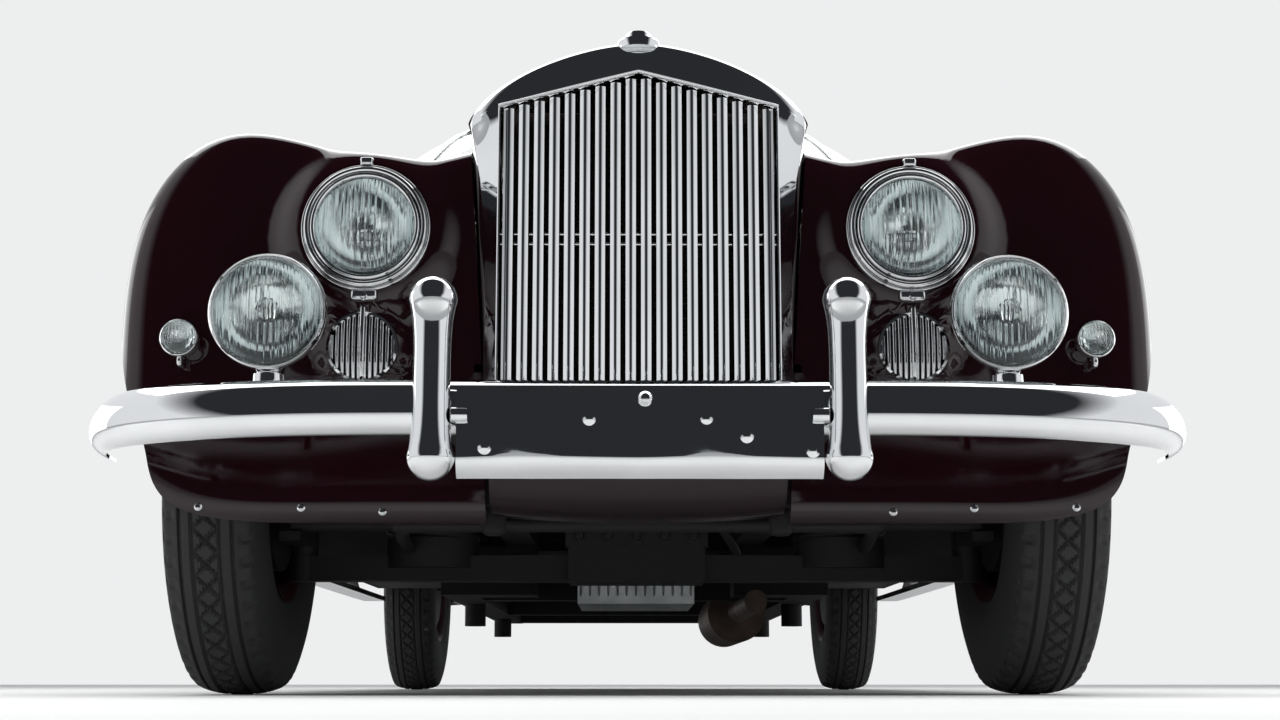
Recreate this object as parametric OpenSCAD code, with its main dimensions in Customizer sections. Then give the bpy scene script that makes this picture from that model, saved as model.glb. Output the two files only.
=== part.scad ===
// Grand touring fastback car of the 1950s, built as separate panels on a chassis.
// Millimetres. +Z is up, the car faces -Y, and the origin is on the ground below the middle of its length.

/* [Overall] */
// Length over the bumpers
overall_length = 5245; // [5000:5:5500]
// Width over the wings
overall_width = 1816; // [1740:2:1900]
// Height of the unladen roof
overall_height = 1600; // [1540:5:1660]
// Distance between the axles
wheelbase = 3048; // [2950:1:3150]
// Front axle to the front of the overriders
front_overhang = 860; // [830:1:900]

/* [Wheels] */
// Distance between the front tyres' middles
front_track = 1395; // [1370:1:1430]
// Distance between the rear tyres' middles
rear_track = 1430; // [1400:1:1480]
// Outside diameter of a tyre
tyre_diameter = 735; // [715:1:750]
// Width of a tyre's section
tyre_width = 165; // [155:1:180]
// Diameter of the rim's bead seat
rim_diameter = 406; // [390:1:420]
// Width of the rim
rim_width = 140; // [120:1:150]

/* [Panels] */
// Thickness of a wing's or roof's wall
wall = 14; // [8:0.5:20]
// Thickness of a door
door_wall = 30; // [20:1:40]
// Thickness of the window glass
glass = 6; // [4:0.5:8]
// Gap round a panel that opens
shut_gap = 5; // [4:0.5:8]
// Gap between fixed panels
reveal = 0.4; // [0.2:0.1:0.8]

/* [Front] */
// Half width of the radiator's slatted opening
grille_half_width = 227; // [215:1:240]
// Number of slats in the radiator
slat_count = 18; // [14:2:22]
// Distance of a headlamp from the middle
headlamp_x = 430; // [420:1:450]
// Diameter of a headlamp's lens
headlamp_lens_d = 160; // [150:1:178]
// Distance of a driving lamp from the middle
driving_lamp_x = 560; // [550:1:575]
// Diameter over a driving lamp's rim
driving_lamp_d = 180; // [170:1:190]

/* [Hidden] */
$fn = 48;

paint = "#2a0d14";
chrome = "silver";
black = "#1b1b1d";

// Overrun of every cut past the face that it opens
over = 10;
// Running clearance of a bearing or a seat
clear = 0.3;

half_width = overall_width / 2;
rear_overhang = overall_length - wheelbase - front_overhang;
front_axle_y = front_overhang - overall_length / 2;
rear_axle_y = front_axle_y + wheelbase;
tyre_r = tyre_diameter / 2;
axle_z = tyre_r;

// Place along the car: -1 the front end, 0 the front axle, 1 the rear axle, 2 the rear end
function along(share) = front_axle_y + (share < 0 ? share * front_overhang
    : share <= 1 ? share * wheelbase : wheelbase + (share - 1) * rear_overhang);
function high(share) = share * overall_height;
function out(share) = share * half_width;
function lerp(a, b, t) = a + (b - a) * t;

// Uniform cubic B-spline with its end points held, for points or for whole rows of points
function held(points, i) = points[max(0, min(len(points) - 1, i - 2))];
function spline(points, t) = let (n = len(points) + 1, a = min(max(t, 0), 1) * n,
    i = min(floor(a), n - 1), f = a - i, g = 1 - f)
    (held(points, i) * g * g * g + held(points, i + 1) * (3 * f * f * f - 6 * f * f + 4)
    + held(points, i + 2) * (3 * g * g * g - 6 * g * g + 4) + held(points, i + 3) * f * f * f) / 6;

// Body side: place along the car, then shares of the half width (x) and of the height (z) for
// the inner lower edge, the sill, the widest line, the wing's crest, the dip inside it and the seam
// [along, tuck x, sill z, side x, side z, crest x, crest z, dip x, dip z, seam x, seam z]
side_shares = [
    [-0.060, 0.260, 0.147, 0.993, 0.317, 0.798, 0.629, 0.485, 0.545, 0.300, 0.570],
    [ 0.098, 0.837, 0.169, 1.000, 0.360, 0.810, 0.631, 0.550, 0.553, 0.365, 0.578],
    [ 0.197, 0.848, 0.172, 0.998, 0.390, 0.850, 0.627, 0.661, 0.584, 0.540, 0.605],
    [ 0.295, 0.854, 0.172, 0.997, 0.388, 0.898, 0.600, 0.787, 0.625, 0.716, 0.644],
    [ 0.410, 0.854, 0.172, 0.997, 0.381, 0.916, 0.566, 0.854, 0.631, 0.802, 0.664],
    [ 0.558, 0.854, 0.172, 0.997, 0.378, 0.931, 0.545, 0.864, 0.625, 0.817, 0.666],
    [ 0.705, 0.854, 0.172, 0.998, 0.378, 0.936, 0.550, 0.861, 0.625, 0.809, 0.662],
    [ 0.853, 0.854, 0.172, 1.000, 0.378, 0.927, 0.578, 0.826, 0.616, 0.784, 0.647],
    [ 1.000, 0.848, 0.175, 0.997, 0.375, 0.898, 0.591, 0.760, 0.594, 0.721, 0.616],
    [ 1.338, 0.800, 0.184, 0.969, 0.369, 0.842, 0.572, 0.672, 0.544, 0.628, 0.559],
    [ 1.637, 0.700, 0.197, 0.898, 0.359, 0.749, 0.525, 0.562, 0.481, 0.518, 0.494],
    [ 1.847, 0.560, 0.216, 0.760, 0.350, 0.617, 0.466, 0.452, 0.425, 0.419, 0.434],
    [ 1.915, 0.400, 0.241, 0.573, 0.344, 0.463, 0.413, 0.330, 0.384, 0.308, 0.388],
    [ 1.915, 0.000, 0.244, 0.000, 0.344, 0.000, 0.407, 0.000, 0.381, 0.000, 0.384]];
// Shares along a section's sides where its control points lie
lower_side_share = 0.5;
upper_side_share = 0.62;
bottom_corner_share = 0.95;
function side_row(r) = let (y = along(r[0]), tuck = out(r[1]), sill = high(r[2]), x = out(r[3]),
    z = high(r[4]))
    [[tuck, y, sill], [lerp(tuck, x, 0.5), y, sill], [x * bottom_corner_share, y, sill],
     [x, y, lerp(sill, z, lower_side_share)], [x, y, z], [x, y, lerp(z, high(r[6]), upper_side_share)],
     [out(r[5]), y, high(r[6])], [out(r[7]), y, high(r[8])], [out(r[9]), y, high(r[10])]];

// Nose of the front wing: its section shrinks to a pole beside the radiator
// [share of the section's size, place along the car]
nose_shares = [[0.02, -0.556], [0.59, -0.542], [0.847, -0.554], [0.914, -0.516], [0.967, -0.174]];
nose_pole = [out(0.27), high(0.316)];
// How far the nose's outer end lies behind its inner end
nose_sweep = 52;
function nose_row(r) = [for (p = side_row(side_shares[0])) let (x = lerp(nose_pole[0], p[0], r[0]))
    [x, along(r[1]) + nose_sweep * pow(x / half_width, 2), lerp(nose_pole[1], p[2], r[0])]];
side_rows = concat([for (r = nose_shares) nose_row(r)], [for (r = side_shares) side_row(r)]);

// Where on the body side's length, from 0 to 1, a section lies at a place y
function side_at(y, low = 0.2, high = 1, n = 24) = let (mid = (low + high) / 2)
    n == 0 ? mid : spline(side_rows, mid)[4][1] < y ? side_at(y, mid, high, n - 1) : side_at(y, low, mid,
        n - 1);
function side_section(v, columns) = let (row = spline(side_rows, v)) [for (j = [0:columns]) spline(row,
    j / columns)];
function seam(y) = let (row = spline(side_rows, side_at(max(y, along(side_shares[0][0]))))) row[8];

// Bonnet and roof: place along the car, share of the height on the middle line and how square the section
// is
top_shares = [[-0.605, 0.645, 1.60], [-0.300, 0.655, 1.70], [0.050, 0.666, 1.85], [0.150, 0.675, 1.95],
    [0.250, 0.686, 2.05], [0.288, 0.692, 2.10], [0.300, 0.697, 2.10], [0.315, 0.716, 2.15], [0.410, 0.888,
        2.25],
    [0.490, 0.978, 2.35], [0.623, 1.010, 2.40], [0.755, 0.994, 2.40], [0.886, 0.931, 2.35], [1.040, 0.838,
        2.30],
    [1.338, 0.722, 2.20], [1.637, 0.597, 2.15], [1.847, 0.494, 2.10], [1.915, 0.425, 2.05], [1.915, 0.400,
        2.00]];
top_rows = [for (r = top_shares) [along(r[0]), high(r[1]), r[2]]];
function top_at(y, low = 0, high = 1, n = 24) = let (mid = (low + high) / 2)
    n == 0 ? mid : spline(top_rows, mid)[0] < y ? top_at(y, mid, high, n - 1) : top_at(y, low, mid, n - 1);
// Superelliptic section from the seam, at 0, to the middle line, at 1
function top_point(y, w) = let (t = spline(top_rows, top_at(y)), s = seam(y), e = 2 / t[2], a = 90 * w)
    [s[0] * pow(cos(a), e), y, s[2] + max(0, t[1] - s[2]) * pow(sin(a), e)];

// Sheet of a given thickness on the inner side of a grid of points
module sheet(grid, thickness, inset = 0) {
    rows = len(grid);
    cols = len(grid[0]);
    normals = [for (i = [0:rows - 1]) [for (j = [0:cols - 1])
        let (a = grid[min(i + 1, rows - 1)][j] - grid[max(i - 1, 0)][j],
            b = grid[i][min(j + 1, cols - 1)] - grid[i][max(j - 1, 0)], n = cross(a, b)) n / norm(n)]];
    outer = [for (i = [0:rows - 1]) for (j = [0:cols - 1]) grid[i][j] - inset * normals[i][j]];
    inner = [for (i = [0:rows - 1]) for (j = [0:cols - 1]) grid[i][j] - (inset + thickness) * normals[i][j]];
    k = rows * cols;
    function quad(a, b, c, d) = [[a, b, c], [a, c, d]];
    faces = concat(
        [for (i = [0:rows - 2]) for (j = [0:cols - 2]) let (p = i * cols + j)
            each quad(p, p + 1, p + cols + 1, p + cols)],
        [for (i = [0:rows - 2]) for (j = [0:cols - 2]) let (p = k + i * cols + j)
            each quad(p + cols, p + cols + 1, p + 1, p)],
        [for (i = [0:rows - 2]) for (e = [0, cols - 1]) let (p = i * cols + e, q = p + cols)
            each e == 0 ? quad(p, q, k + q, k + p) : quad(q, p, k + p, k + q)],
        [for (j = [0:cols - 2]) for (e = [0, rows - 1]) let (p = e * cols + j, q = p + 1)
            each e == 0 ? quad(q, p, k + p, k + q) : quad(p, q, k + q, k + p)]);
    polyhedron(concat(outer, inner), faces);
}

// Closed skin through rings of points, the last ring joined to the first
module ring_skin(rings) {
    n = len(rings);
    m = len(rings[0]);
    faces = [for (i = [0:n - 1]) for (j = [0:m - 1])
        let (a = i * m + j, b = i * m + (j + 1) % m, c = ((i + 1) % n) * m + (j + 1) % m,
            d = ((i + 1) % n) * m + j)
        each [[a, b, c], [a, c, d]]];
    polyhedron([for (r = rings) each r], faces);
}

module both_sides() {
    children();
    mirror([1, 0, 0]) children();
}
module at_side(side) {
    if (side > 0) children();
    else mirror([1, 0, 0]) children();
}
// Box between two corners
module block(low, high) {
    translate(low) cube(high - low);
}
// Round bar between two points
module bar(a, b, r) {
    d = b - a;
    length = norm(d);
    translate(a) rotate([0, acos(d[2] / length), atan2(d[1], d[0])]) cylinder(h = length, r = r);
}
// Solid of revolution about the X axis through a point
module turned(at) {
    translate(at) rotate([0, 90, 0]) rotate_extrude() children();
}
// Solid of revolution about an axis that points forwards through a point
module facing_front(at) {
    translate(at) rotate([90, 0, 0]) rotate_extrude() children();
}

// Grid of the body side between two places along the car
function side_grid(y0, y1, rows, columns) = let (a = side_at(y0), b = side_at(y1))
    [for (i = [0:rows]) side_section(lerp(a, b, i / rows), columns)];
// Grid of the bonnet or roof from the seam to the middle line, or on to the other seam
function top_grid(y0, y1, rows, columns, w0 = 0, w1 = 1) = let (a = top_at(y0), b = top_at(y1))
    [for (i = [0:rows]) let (y = spline(top_rows, lerp(a, b, i / rows))[0])
        [for (j = [0:columns]) let (w = lerp(w0, w1, j / columns), p = top_point(y, w <= 1 ? w : 2 - w))
            w <= 1 ? p : [-p[0], p[1], p[2]]]];
// Grid of the body side and the roof's side above it, in one
function whole_side_grid(y0, y1, rows, columns, upper, w1) = let (a = side_at(y0), b = side_at(y1))
    [for (i = [0:rows]) let (v = lerp(a, b, i / rows), section = side_section(v, columns))
        concat(section, [for (j = [1:upper]) top_point(section[0][1], w1 * j / upper)])];

// Outline of a plate with rounded corners, from its points and one radius, in the YZ plane, cut through
// one side
module side_cut(points, r, grow = 0, slant = 0) {
    multmatrix([[1, 0, 0, 0], [slant, 1, 0, -slant * half_width], [0, 0, 1, 0], [0, 0, 0, 1]])
        rotate([90, 0, 90]) linear_extrude(half_width + over) polygon(rounded(points, r, grow));
}
// A door's outline through one side, outside the windscreen's pillar below and the roof's rail above
module door_cut(grow = 0) {
    intersection() {
        side_cut(door_outline, door_corner_r, grow, shut_slant);
        translate([0, along(2), 0]) rotate([90, 0, 0]) linear_extrude(overall_length) polygon([
            [door_inner_x[0], -over], [half_width + over, -over], [half_width + over,
                overall_height + over],
            [door_inner_x[1], overall_height + over], [door_inner_x[1], door_inner_z[1]],
            [door_inner_x[0], door_inner_z[0]]]);
    }
}
// Corners of an outline, grown and rounded with arcs
corner_steps = 5;
function rounded(points, r, grow) = let (n = len(points)) [for (i = [0:n - 1])
    let (p = points[i], a = unit(points[(i + n - 1) % n] - p), b = unit(points[(i + 1) % n] - p),
        half = acos(a * b) / 2, mid = unit(a + b), turn = sign(b[0] * a[1] - b[1] * a[0]),
        c = p + mid * (r / sin(half)), a0 = atan2(-mid[1], -mid[0]), spread = turn * (90 - half))
        for (k = [0:corner_steps]) let (q = a0 + spread * (2 * k / corner_steps - 1))
            c + (r + turn * grow) * [cos(q), sin(q)]];
function unit(v) = v / norm(v);

// Outlines in the side view, as shares along the car and of the height, turned anticlockwise as seen from
// the left
function side_points(shares) = [for (p = shares) [along(p[0]), high(p[1])]];
door_shares = [[0.309, 0.188], [0.694, 0.188], [0.694, 0.538], [0.711, 0.662], [0.727, 0.955], [0.604,
    0.955],
    [0.333, 0.650], [0.317, 0.581], [0.309, 0.500]];
door_outline = side_points(door_shares);
door_window = side_points([[0.396, 0.686], [0.6975, 0.686], [0.710, 0.924], [0.607, 0.924]]);
quarter_window = side_points([[0.716, 0.688], [0.885, 0.688], [0.860, 0.780], [0.790, 0.895], [0.711,
    0.928]]);
door_corner_r = 24;
window_corner_r = 46;
quarter_corner_r = 40;
// Slope of a door's shut faces, so that it swings out past its pillar
shut_slant = 0.3;
// Innermost reach of a door below and above the heights where it changes
door_inner_x = [out(0.62), out(0.40)];
door_inner_z = [high(0.80), high(0.90)];

wheel_well_r = 430;
wheel_well_inner_x = 190;
spat_z = high(0.33);

// Front wing, with its nose, arch and lamp openings
wing_rows = 22;
wing_columns = 16;
nose_rows = 8;
headlamp_z = high(0.4547);
headlamp_y = along(-0.575);
headlamp_bowl_r = 88;
horn_x = 434;
horn_z = high(0.3375);
horn_y = along(-0.552);
horn_r = 57;
side_lamp_x = 723;
side_lamp_z = high(0.3475);
side_lamp_y = along(-0.539);
side_stem_length = 50;
side_lamp_r = 32;
side_lamp_stem_r = 12;
wing_end = along(0.325);
module arch(axle_y, r, x0) {
    translate([x0, axle_y, axle_z]) rotate([0, 90, 0]) cylinder(h = half_width, r = r);
    block([x0, axle_y - r, -over], [x0 + half_width, axle_y + r, axle_z]);
}
module front_wing(side) {
    nose_end = side_at(along(side_shares[0][0]), 0);
    back = side_at(wing_end);
    grid = concat([for (i = [0:nose_rows - 1]) side_section(nose_end * i / nose_rows, wing_columns)],
        [for (i = [0:wing_rows - nose_rows]) side_section(lerp(nose_end, back,
            i / (wing_rows - nose_rows)), wing_columns)]);
    color(paint) at_side(side) difference() {
        union() {
            sheet(grid, wall);
            headlamp_collar();
        }
        shell_room();
        arch(front_axle_y, wheel_well_r, wheel_well_inner_x);
        door_cut(shut_gap);
        block([0, along(0.309) - reveal, -over], [half_width + over, wing_end + over, high(0.188)
            + shut_gap]);
        lamp_hole(headlamp_x, headlamp_y, headlamp_z, headlamp_bowl_r + clear);
        lamp_hole(horn_x, horn_y, horn_z, horn_r + clear);
        lamp_hole(side_lamp_x, side_lamp_y, side_lamp_z, side_lamp_stem_r + clear);
        block([iron_x - reveal, along(-0.7), iron_z[0] - reveal], [iron_x + iron + reveal, along(-0.3),
            iron_z[1] + reveal]);
    }
}
// Flared collar of the wing behind a headlamp's rim
collar_r = [106, 132, 150];
collar_depth = [34, 60];
module headlamp_collar() {
    facing_front([headlamp_x, headlamp_y + clear, headlamp_z]) polygon([[headlamp_bowl_r, 0],
        [collar_r[0], 0],
        [collar_r[1], -collar_depth[0]], [collar_r[2], -collar_depth[1]], [headlamp_bowl_r,
            -collar_depth[1]]]);
}
// Room for the radiator's shell between the wings
module shell_room() {
    translate([0, shell_y[1] + reveal, 0]) rotate([90, 0, 0]) linear_extrude(front_overhang) polygon([
        [-over, shell_z[0] - reveal], [shell_bottom_half_width + reveal, shell_z[0] - reveal],
        [shell_half_width + reveal, shell_z[1]], [shell_half_width + reveal, overall_height],
        [-over, overall_height]]);
}
lamp_hole_reach = 120;
module lamp_hole(x, y, z, r) {
    translate([x, y + lamp_hole_reach, z]) rotate([90, 0, 0]) cylinder(h = 2 * lamp_hole_reach, r = r);
}

// Rear wing, to the middle of the tail
rear_rows = 18;
rear_columns = 14;
module rear_wing(side) {
    color(paint) at_side(side) difference() {
        sheet(side_grid(along(0.65), along(1.915), rear_rows, rear_columns), wall);
        door_cut(shut_gap);
        block([0, along(0.6), -over], [half_width + over, along(0.694) + reveal, high(0.188) + shut_gap]);
        intersection() {
            arch(rear_axle_y, wheel_well_r, wheel_well_inner_x);
            block([0, along(0), -over], [half_width + over, along(2), spat_z]);
        }
        lamp_hole(tail_lamp_x, tail_lamp_y, tail_lamp_z, tail_lamp_r + clear);
        block([-over, along(1), -over], [reveal / 2, along(2), overall_height]);
        block([rail_x[0] - reveal, rail_end, rear_iron_z[0] - reveal], [rail_x[0] + iron + reveal,
            along(2), rear_iron_z[1] + reveal]);
    }
}

// Sills below the doors
sill_rows = 3;
sill_columns = 12;
module sills() {
    color(paint) both_sides() intersection() {
        sheet(side_grid(along(0.29), along(0.71), sill_rows, sill_columns), wall);
        block([0, along(0.309), 0], [half_width + over, along(0.694), high(0.188) - shut_gap]);
    }
}

// Doors, with the frame of their window
door_rows = 9;
door_columns = 13;
frame_columns = 7;
frame_top_share = 0.74;
module door(side) {
    color(paint) at_side(side) intersection() {
        difference() {
            sheet(whole_side_grid(along(0.28), along(0.72), door_rows, door_columns, frame_columns,
                frame_top_share),
                door_wall);
            side_cut(door_window, window_corner_r, 0, shut_slant);
        }
        door_cut();
    }
}
glass_inset = 10;
module door_glass(side) {
    color("lightblue", 0.4) at_side(side) intersection() {
        sheet(top_grid(along(0.33), along(0.71), glass_rows, frame_columns, reveal_share,
            frame_top_share), glass, glass_inset);
        side_cut(door_window, window_corner_r, -reveal, shut_slant);
    }
}

// Roof from the windscreen to the tail, in one panel with its pillars
roof_rows = 24;
roof_columns = 9;
screen_half_width = out(0.66);
screen_z = [high(0.712), high(0.925)];
screen_top_half_width = out(0.50);
screen_corner_r = 60;
rear_window_half_width = out(0.40);
rear_window_z = [high(0.800), high(0.915)];
rear_window_corner_r = 55;
boot_y = [along(1.20), along(1.79)];
boot_half_width = out(0.36);
roof_start = along(0.306);
roof_middle = along(0.62);
// Outline in the front view, cut along the car
module front_cut(points, r, grow, y0, y1) {
    translate([0, y1, 0]) rotate([90, 0, 0]) linear_extrude(y1 - y0) polygon(rounded(points, r, grow));
}
screen_outline = [[-screen_half_width, screen_z[0]], [screen_half_width, screen_z[0]],
    [screen_top_half_width, screen_z[1]], [-screen_top_half_width, screen_z[1]]];
rear_window_outline = [[-rear_window_half_width, rear_window_z[0]], [rear_window_half_width,
    rear_window_z[0]],
    [rear_window_half_width, rear_window_z[1]], [-rear_window_half_width, rear_window_z[1]]];
module windows(grow) {
    front_cut(screen_outline, screen_corner_r, grow, along(0.25), roof_middle);
    front_cut(rear_window_outline, rear_window_corner_r, grow, roof_middle, along(1.5));
    both_sides() side_cut(quarter_window, quarter_corner_r, grow);
}
module roof() {
    color(paint) difference() {
        sheet(top_grid(roof_start, along(1.911), roof_rows, 2 * roof_columns, reveal_share,
            2 - reveal_share), wall);
        both_sides() block([out(0.2), along(1.892), 0], [half_width, along(2), overall_height]);
        windows(0);
        both_sides() door_cut(shut_gap);
        block([-boot_half_width - shut_gap, boot_y[0] - shut_gap, 0],
            [boot_half_width + shut_gap, boot_y[1] + shut_gap, overall_height]);
    }
}
reveal_share = 0.004;
glass_rows = 6;
glass_columns = 5;
module fixed_glass() {
    color("lightblue", 0.4) {
        intersection() {
            sheet(top_grid(roof_start, along(0.52), glass_rows, 2 * glass_columns, 0.25, 1.75), glass,
                glass_set);
            front_cut(screen_outline, screen_corner_r, -reveal, along(0.25), roof_middle);
        }
        intersection() {
            sheet(top_grid(along(0.85), along(1.3), glass_rows, 2 * glass_columns, 0.25, 1.75), glass,
                glass_set);
            front_cut(rear_window_outline, rear_window_corner_r, -reveal, roof_middle, along(1.5));
        }
        both_sides() intersection() {
            sheet(top_grid(along(0.68), along(0.92), glass_rows, glass_columns, reveal_share, 0.8), glass,
                glass_set);
            side_cut(quarter_window, quarter_corner_r, -reveal);
        }
    }
}
glass_set = 4;

// Boot lid, hinged along its upper edge
boot_rows = 8;
boot_columns = 12;
boot_wall = 18;
boot_lug_x = [55, 95];
boot_lug_reach = 24;
boot_lug_wall = 8;
module boot_lid() {
    grid = top_grid(along(1.10), along(1.90), boot_rows, boot_columns, 0.3, 1.7);
    color(paint) {
        intersection() {
            sheet(grid, boot_wall);
            block([-boot_half_width, boot_y[0], 0], [boot_half_width, boot_y[1], overall_height]);
        }
        both_sides() intersection() {
            sheet(grid, boot_lug_wall, wall + 2 * reveal);
            block([boot_lug_x[0], boot_y[0] - boot_lug_reach, 0], [boot_lug_x[1],
                boot_y[0] + boot_lug_reach, overall_height]);
        }
    }
}

// Bonnet in two leaves, on a hinge along the middle, and the scuttle behind it
bonnet_y = [along(-0.525), along(0.262)];
bonnet_rows = 10;
bonnet_columns = 10;
bonnet_wall = 12;
hinge_half_width = 8;
bonnet_edge_share = 0.03;
module bonnet(side) {
    color(paint) at_side(side) difference() {
        sheet(top_grid(bonnet_y[0], bonnet_y[1], bonnet_rows, bonnet_columns, bonnet_edge_share, 1),
            bonnet_wall);
        block([-over, along(-1), 0], [hinge_half_width + clear, along(1), overall_height]);
    }
}
hinge_depth = 10;
hinge_columns = 2;
module bonnet_hinge() {
    color(chrome) intersection() {
        sheet(top_grid(shell_y[1] + clear, bonnet_y[1] + shut_gap - clear, bonnet_rows, hinge_columns,
            0.8, 1.2), hinge_depth);
        block([-hinge_half_width, along(-1), 0], [hinge_half_width, along(1), overall_height]);
    }
}
scuttle_rows = 4;
module scuttle() {
    color(paint) difference() {
        sheet(top_grid(bonnet_y[1] + shut_gap, roof_start - reveal, scuttle_rows, 2 * bonnet_columns,
            reveal_share, 2 - reveal_share), wall);
        both_sides() door_cut(shut_gap);
    }
}

// Radiator shell: a frame with a crowned top and sides that draw in downwards
shell_y = [along(-0.605), along(-0.534)];
shell_z = [high(0.265), high(0.560), high(0.645)];
shell_bottom_half_width = 243;
shell_half_width = 274;
shell_square = 1.62;
shell_round = 13;
grille_z = [high(0.285), high(0.583), high(0.618)];
shell_top_points = 24;
shell_side_points = 6;
function shell_ring(y, inset) = concat(
    [for (i = [0:shell_side_points - 1]) let (t = i / shell_side_points)
        [lerp(shell_bottom_half_width, shell_half_width, t) - inset, y, lerp(shell_z[0] + inset,
            shell_z[1], t)]],
    [for (i = [0:shell_top_points]) let (a = 180 * i / shell_top_points, e = 2 / shell_square)
        [sign(cos(a)) * (shell_half_width - inset) * pow(abs(cos(a)), e), y,
         shell_z[1] + (shell_z[2] - shell_z[1] - inset) * pow(sin(a), e)]],
    [for (i = [1:shell_side_points]) let (t = i / shell_side_points)
        [inset - lerp(shell_half_width, shell_bottom_half_width, t), y, lerp(shell_z[1],
            shell_z[0] + inset, t)]]);
// Slatted opening: straight sides and a roof-shaped top
function opening_ring(y) = concat(
    [for (i = [0:shell_side_points - 1]) [grille_half_width, y, lerp(grille_z[0], grille_z[1],
        i / shell_side_points)]],
    [for (i = [0:shell_top_points]) let (x = 1 - 2 * i / shell_top_points)
        [x * grille_half_width, y, lerp(grille_z[2], grille_z[1], abs(x))]],
    [for (i = [1:shell_side_points]) [-grille_half_width, y, lerp(grille_z[1], grille_z[0],
        i / shell_side_points)]]);
round_steps = 3;
// Plain filler cap: radii and heights of its base and top, and how far it sinks into the crown
cap_r = [27, 20];
cap_h = [7, 12];
cap_sink = 12;
module radiator_shell() {
    color(chrome) {
        ring_skin(concat([opening_ring(shell_y[1]), opening_ring(shell_y[0])],
            [for (i = [0:round_steps]) let (a = 90 * i / round_steps)
                shell_ring(shell_y[0] + shell_round * (1 - sin(a)), shell_round * (1 - cos(90 - a)))],
            [shell_ring(shell_y[1], 0)]));
        translate([0, (shell_y[0] + shell_y[1]) / 2, shell_z[2] - cap_sink]) {
            cylinder(h = cap_sink + cap_h[0], r = cap_r[0]);
            cylinder(h = cap_sink + cap_h[0] + cap_h[1], r = cap_r[1]);
        }
    }
}
slat_pitch = 2 * grille_half_width / slat_count;
slat_r = 5.5;
slat_depth = 26;
slat_back = 20;
tie_r = 3;
tie_shares = [0.04, 0.45, 0.5, 0.9];
function gable(x) = lerp(grille_z[2], grille_z[1], abs(x) / grille_half_width);
module grilles() {
    y = shell_y[0] + slat_back;
    color(chrome) {
        for (i = [0:slat_count - 1]) let (x = slat_pitch * (i + 0.5) - grille_half_width) {
            translate([x, y, grille_z[0] + clear]) cylinder(h = gable(x) - grille_z[0] - slat_r,
                r = slat_r);
            block([x - slat_r / 2, y, grille_z[0] + clear], [x + slat_r / 2, y + slat_depth, gable(x)
                - slat_r]);
        }
        for (t = tie_shares) bar([-grille_half_width + clear, y + slat_depth / 2, lerp(grille_z[0],
            grille_z[1], t)],
            [grille_half_width - clear, y + slat_depth / 2, lerp(grille_z[0], grille_z[1], t)], tie_r);
        both_sides() horn_grille();
    }
}
horn_bars = 9;
horn_bar = 3.5;
horn_depth = 16;
horn_rim = 6;
horn_reach = 40;
module horn_grille() {
    facing_front([horn_x, horn_y + horn_reach, horn_z]) polygon([[horn_r - horn_rim, 0], [horn_r, 0],
        [horn_r, horn_reach + horn_depth / 2], [horn_r - horn_rim, horn_reach + horn_depth / 2]]);
    pitch = 2 * (horn_r - horn_rim) / horn_bars;
    for (i = [0:horn_bars - 1]) let (x = pitch * (i + 0.5) - horn_r + horn_rim,
        h = sqrt(pow(horn_r - horn_rim / 2, 2) - x * x))
        block([horn_x + x - horn_bar / 2, horn_y - horn_depth / 2, horn_z - h],
            [horn_x + x + horn_bar / 2, horn_y + horn_depth / 4, horn_z + h]);
}
core_half_width = 215;
core_z = [high(0.270), high(0.580)];
core_depth = 75;
module radiator_core() {
    color(black) block([-core_half_width, shell_y[1] + clear, core_z[0]],
        [core_half_width, shell_y[1] + clear + core_depth, core_z[1]]);
}

// Front apron between the wings, below the radiator
apron_shares = [[-0.575, 0.2647], [-0.584, 0.250], [-0.580, 0.215], [-0.545, 0.186], [-0.480, 0.178],
    [-0.430, 0.177]];
apron_half_width = out(0.255);
apron_drop = 12;
apron_rows = 8;
apron_columns = 10;
module front_apron() {
    profile = [for (p = apron_shares) [0, along(p[0]), high(p[1])]];
    color(paint) sheet([for (j = [0:apron_columns]) [for (i = [0:apron_rows])
        let (x = 1 - 2 * j / apron_columns,
        p = spline(profile, i / apron_rows)) [x * apron_half_width, p[1],
            p[2] - apron_drop * (1 - x * x) * i / apron_rows]]],
        wall);
}

// Lamps: a bowl, a rim and a domed lens, all turned about an axis that points forwards
lamp_rim_depth = 26;
bowl_depth = 130;
lens_thickness = 5;
lens_dome = 12;
lens_steps = 6;
// Shares of a bowl's radius and depth at its back and side, of the rim's depth at its edges, and of the
// hollow inside
bowl_back_shares = [0.55, 0.92];
bowl_side_share = 0.35;
rim_depth_shares = [0.50, 0.80, 0.30];
rim_width_share = 0.45;
hollow_shares = [0.70, 0.50, 0.60];
module lamp_body(lens_r, rim, depth, bowl_r) {
    seat = lens_r + clear;
    rotate_extrude() difference() {
        polygon([[0, -depth], [bowl_r * bowl_back_shares[0], -depth * bowl_back_shares[1]],
            [bowl_r, -depth * bowl_side_share], [bowl_r, 0], [lens_r + rim, 0],
            [lens_r + rim, lamp_rim_depth * rim_depth_shares[0]], [lens_r + rim * rim_width_share,
                lamp_rim_depth],
            [seat, lamp_rim_depth * rim_depth_shares[1]], [0, lamp_rim_depth * rim_depth_shares[1]]]);
        polygon([[0, -depth * hollow_shares[0]], [lens_r * hollow_shares[1], -depth * hollow_shares[2]],
            [seat, lamp_rim_depth * rim_depth_shares[2]], [seat, lamp_rim_depth + over], [0,
                lamp_rim_depth + over]]);
    }
}
function dome(r, y, h) = [for (i = [0:lens_steps]) let (t = i / lens_steps) [r * t, y + h * (1 - t * t)]];
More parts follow.
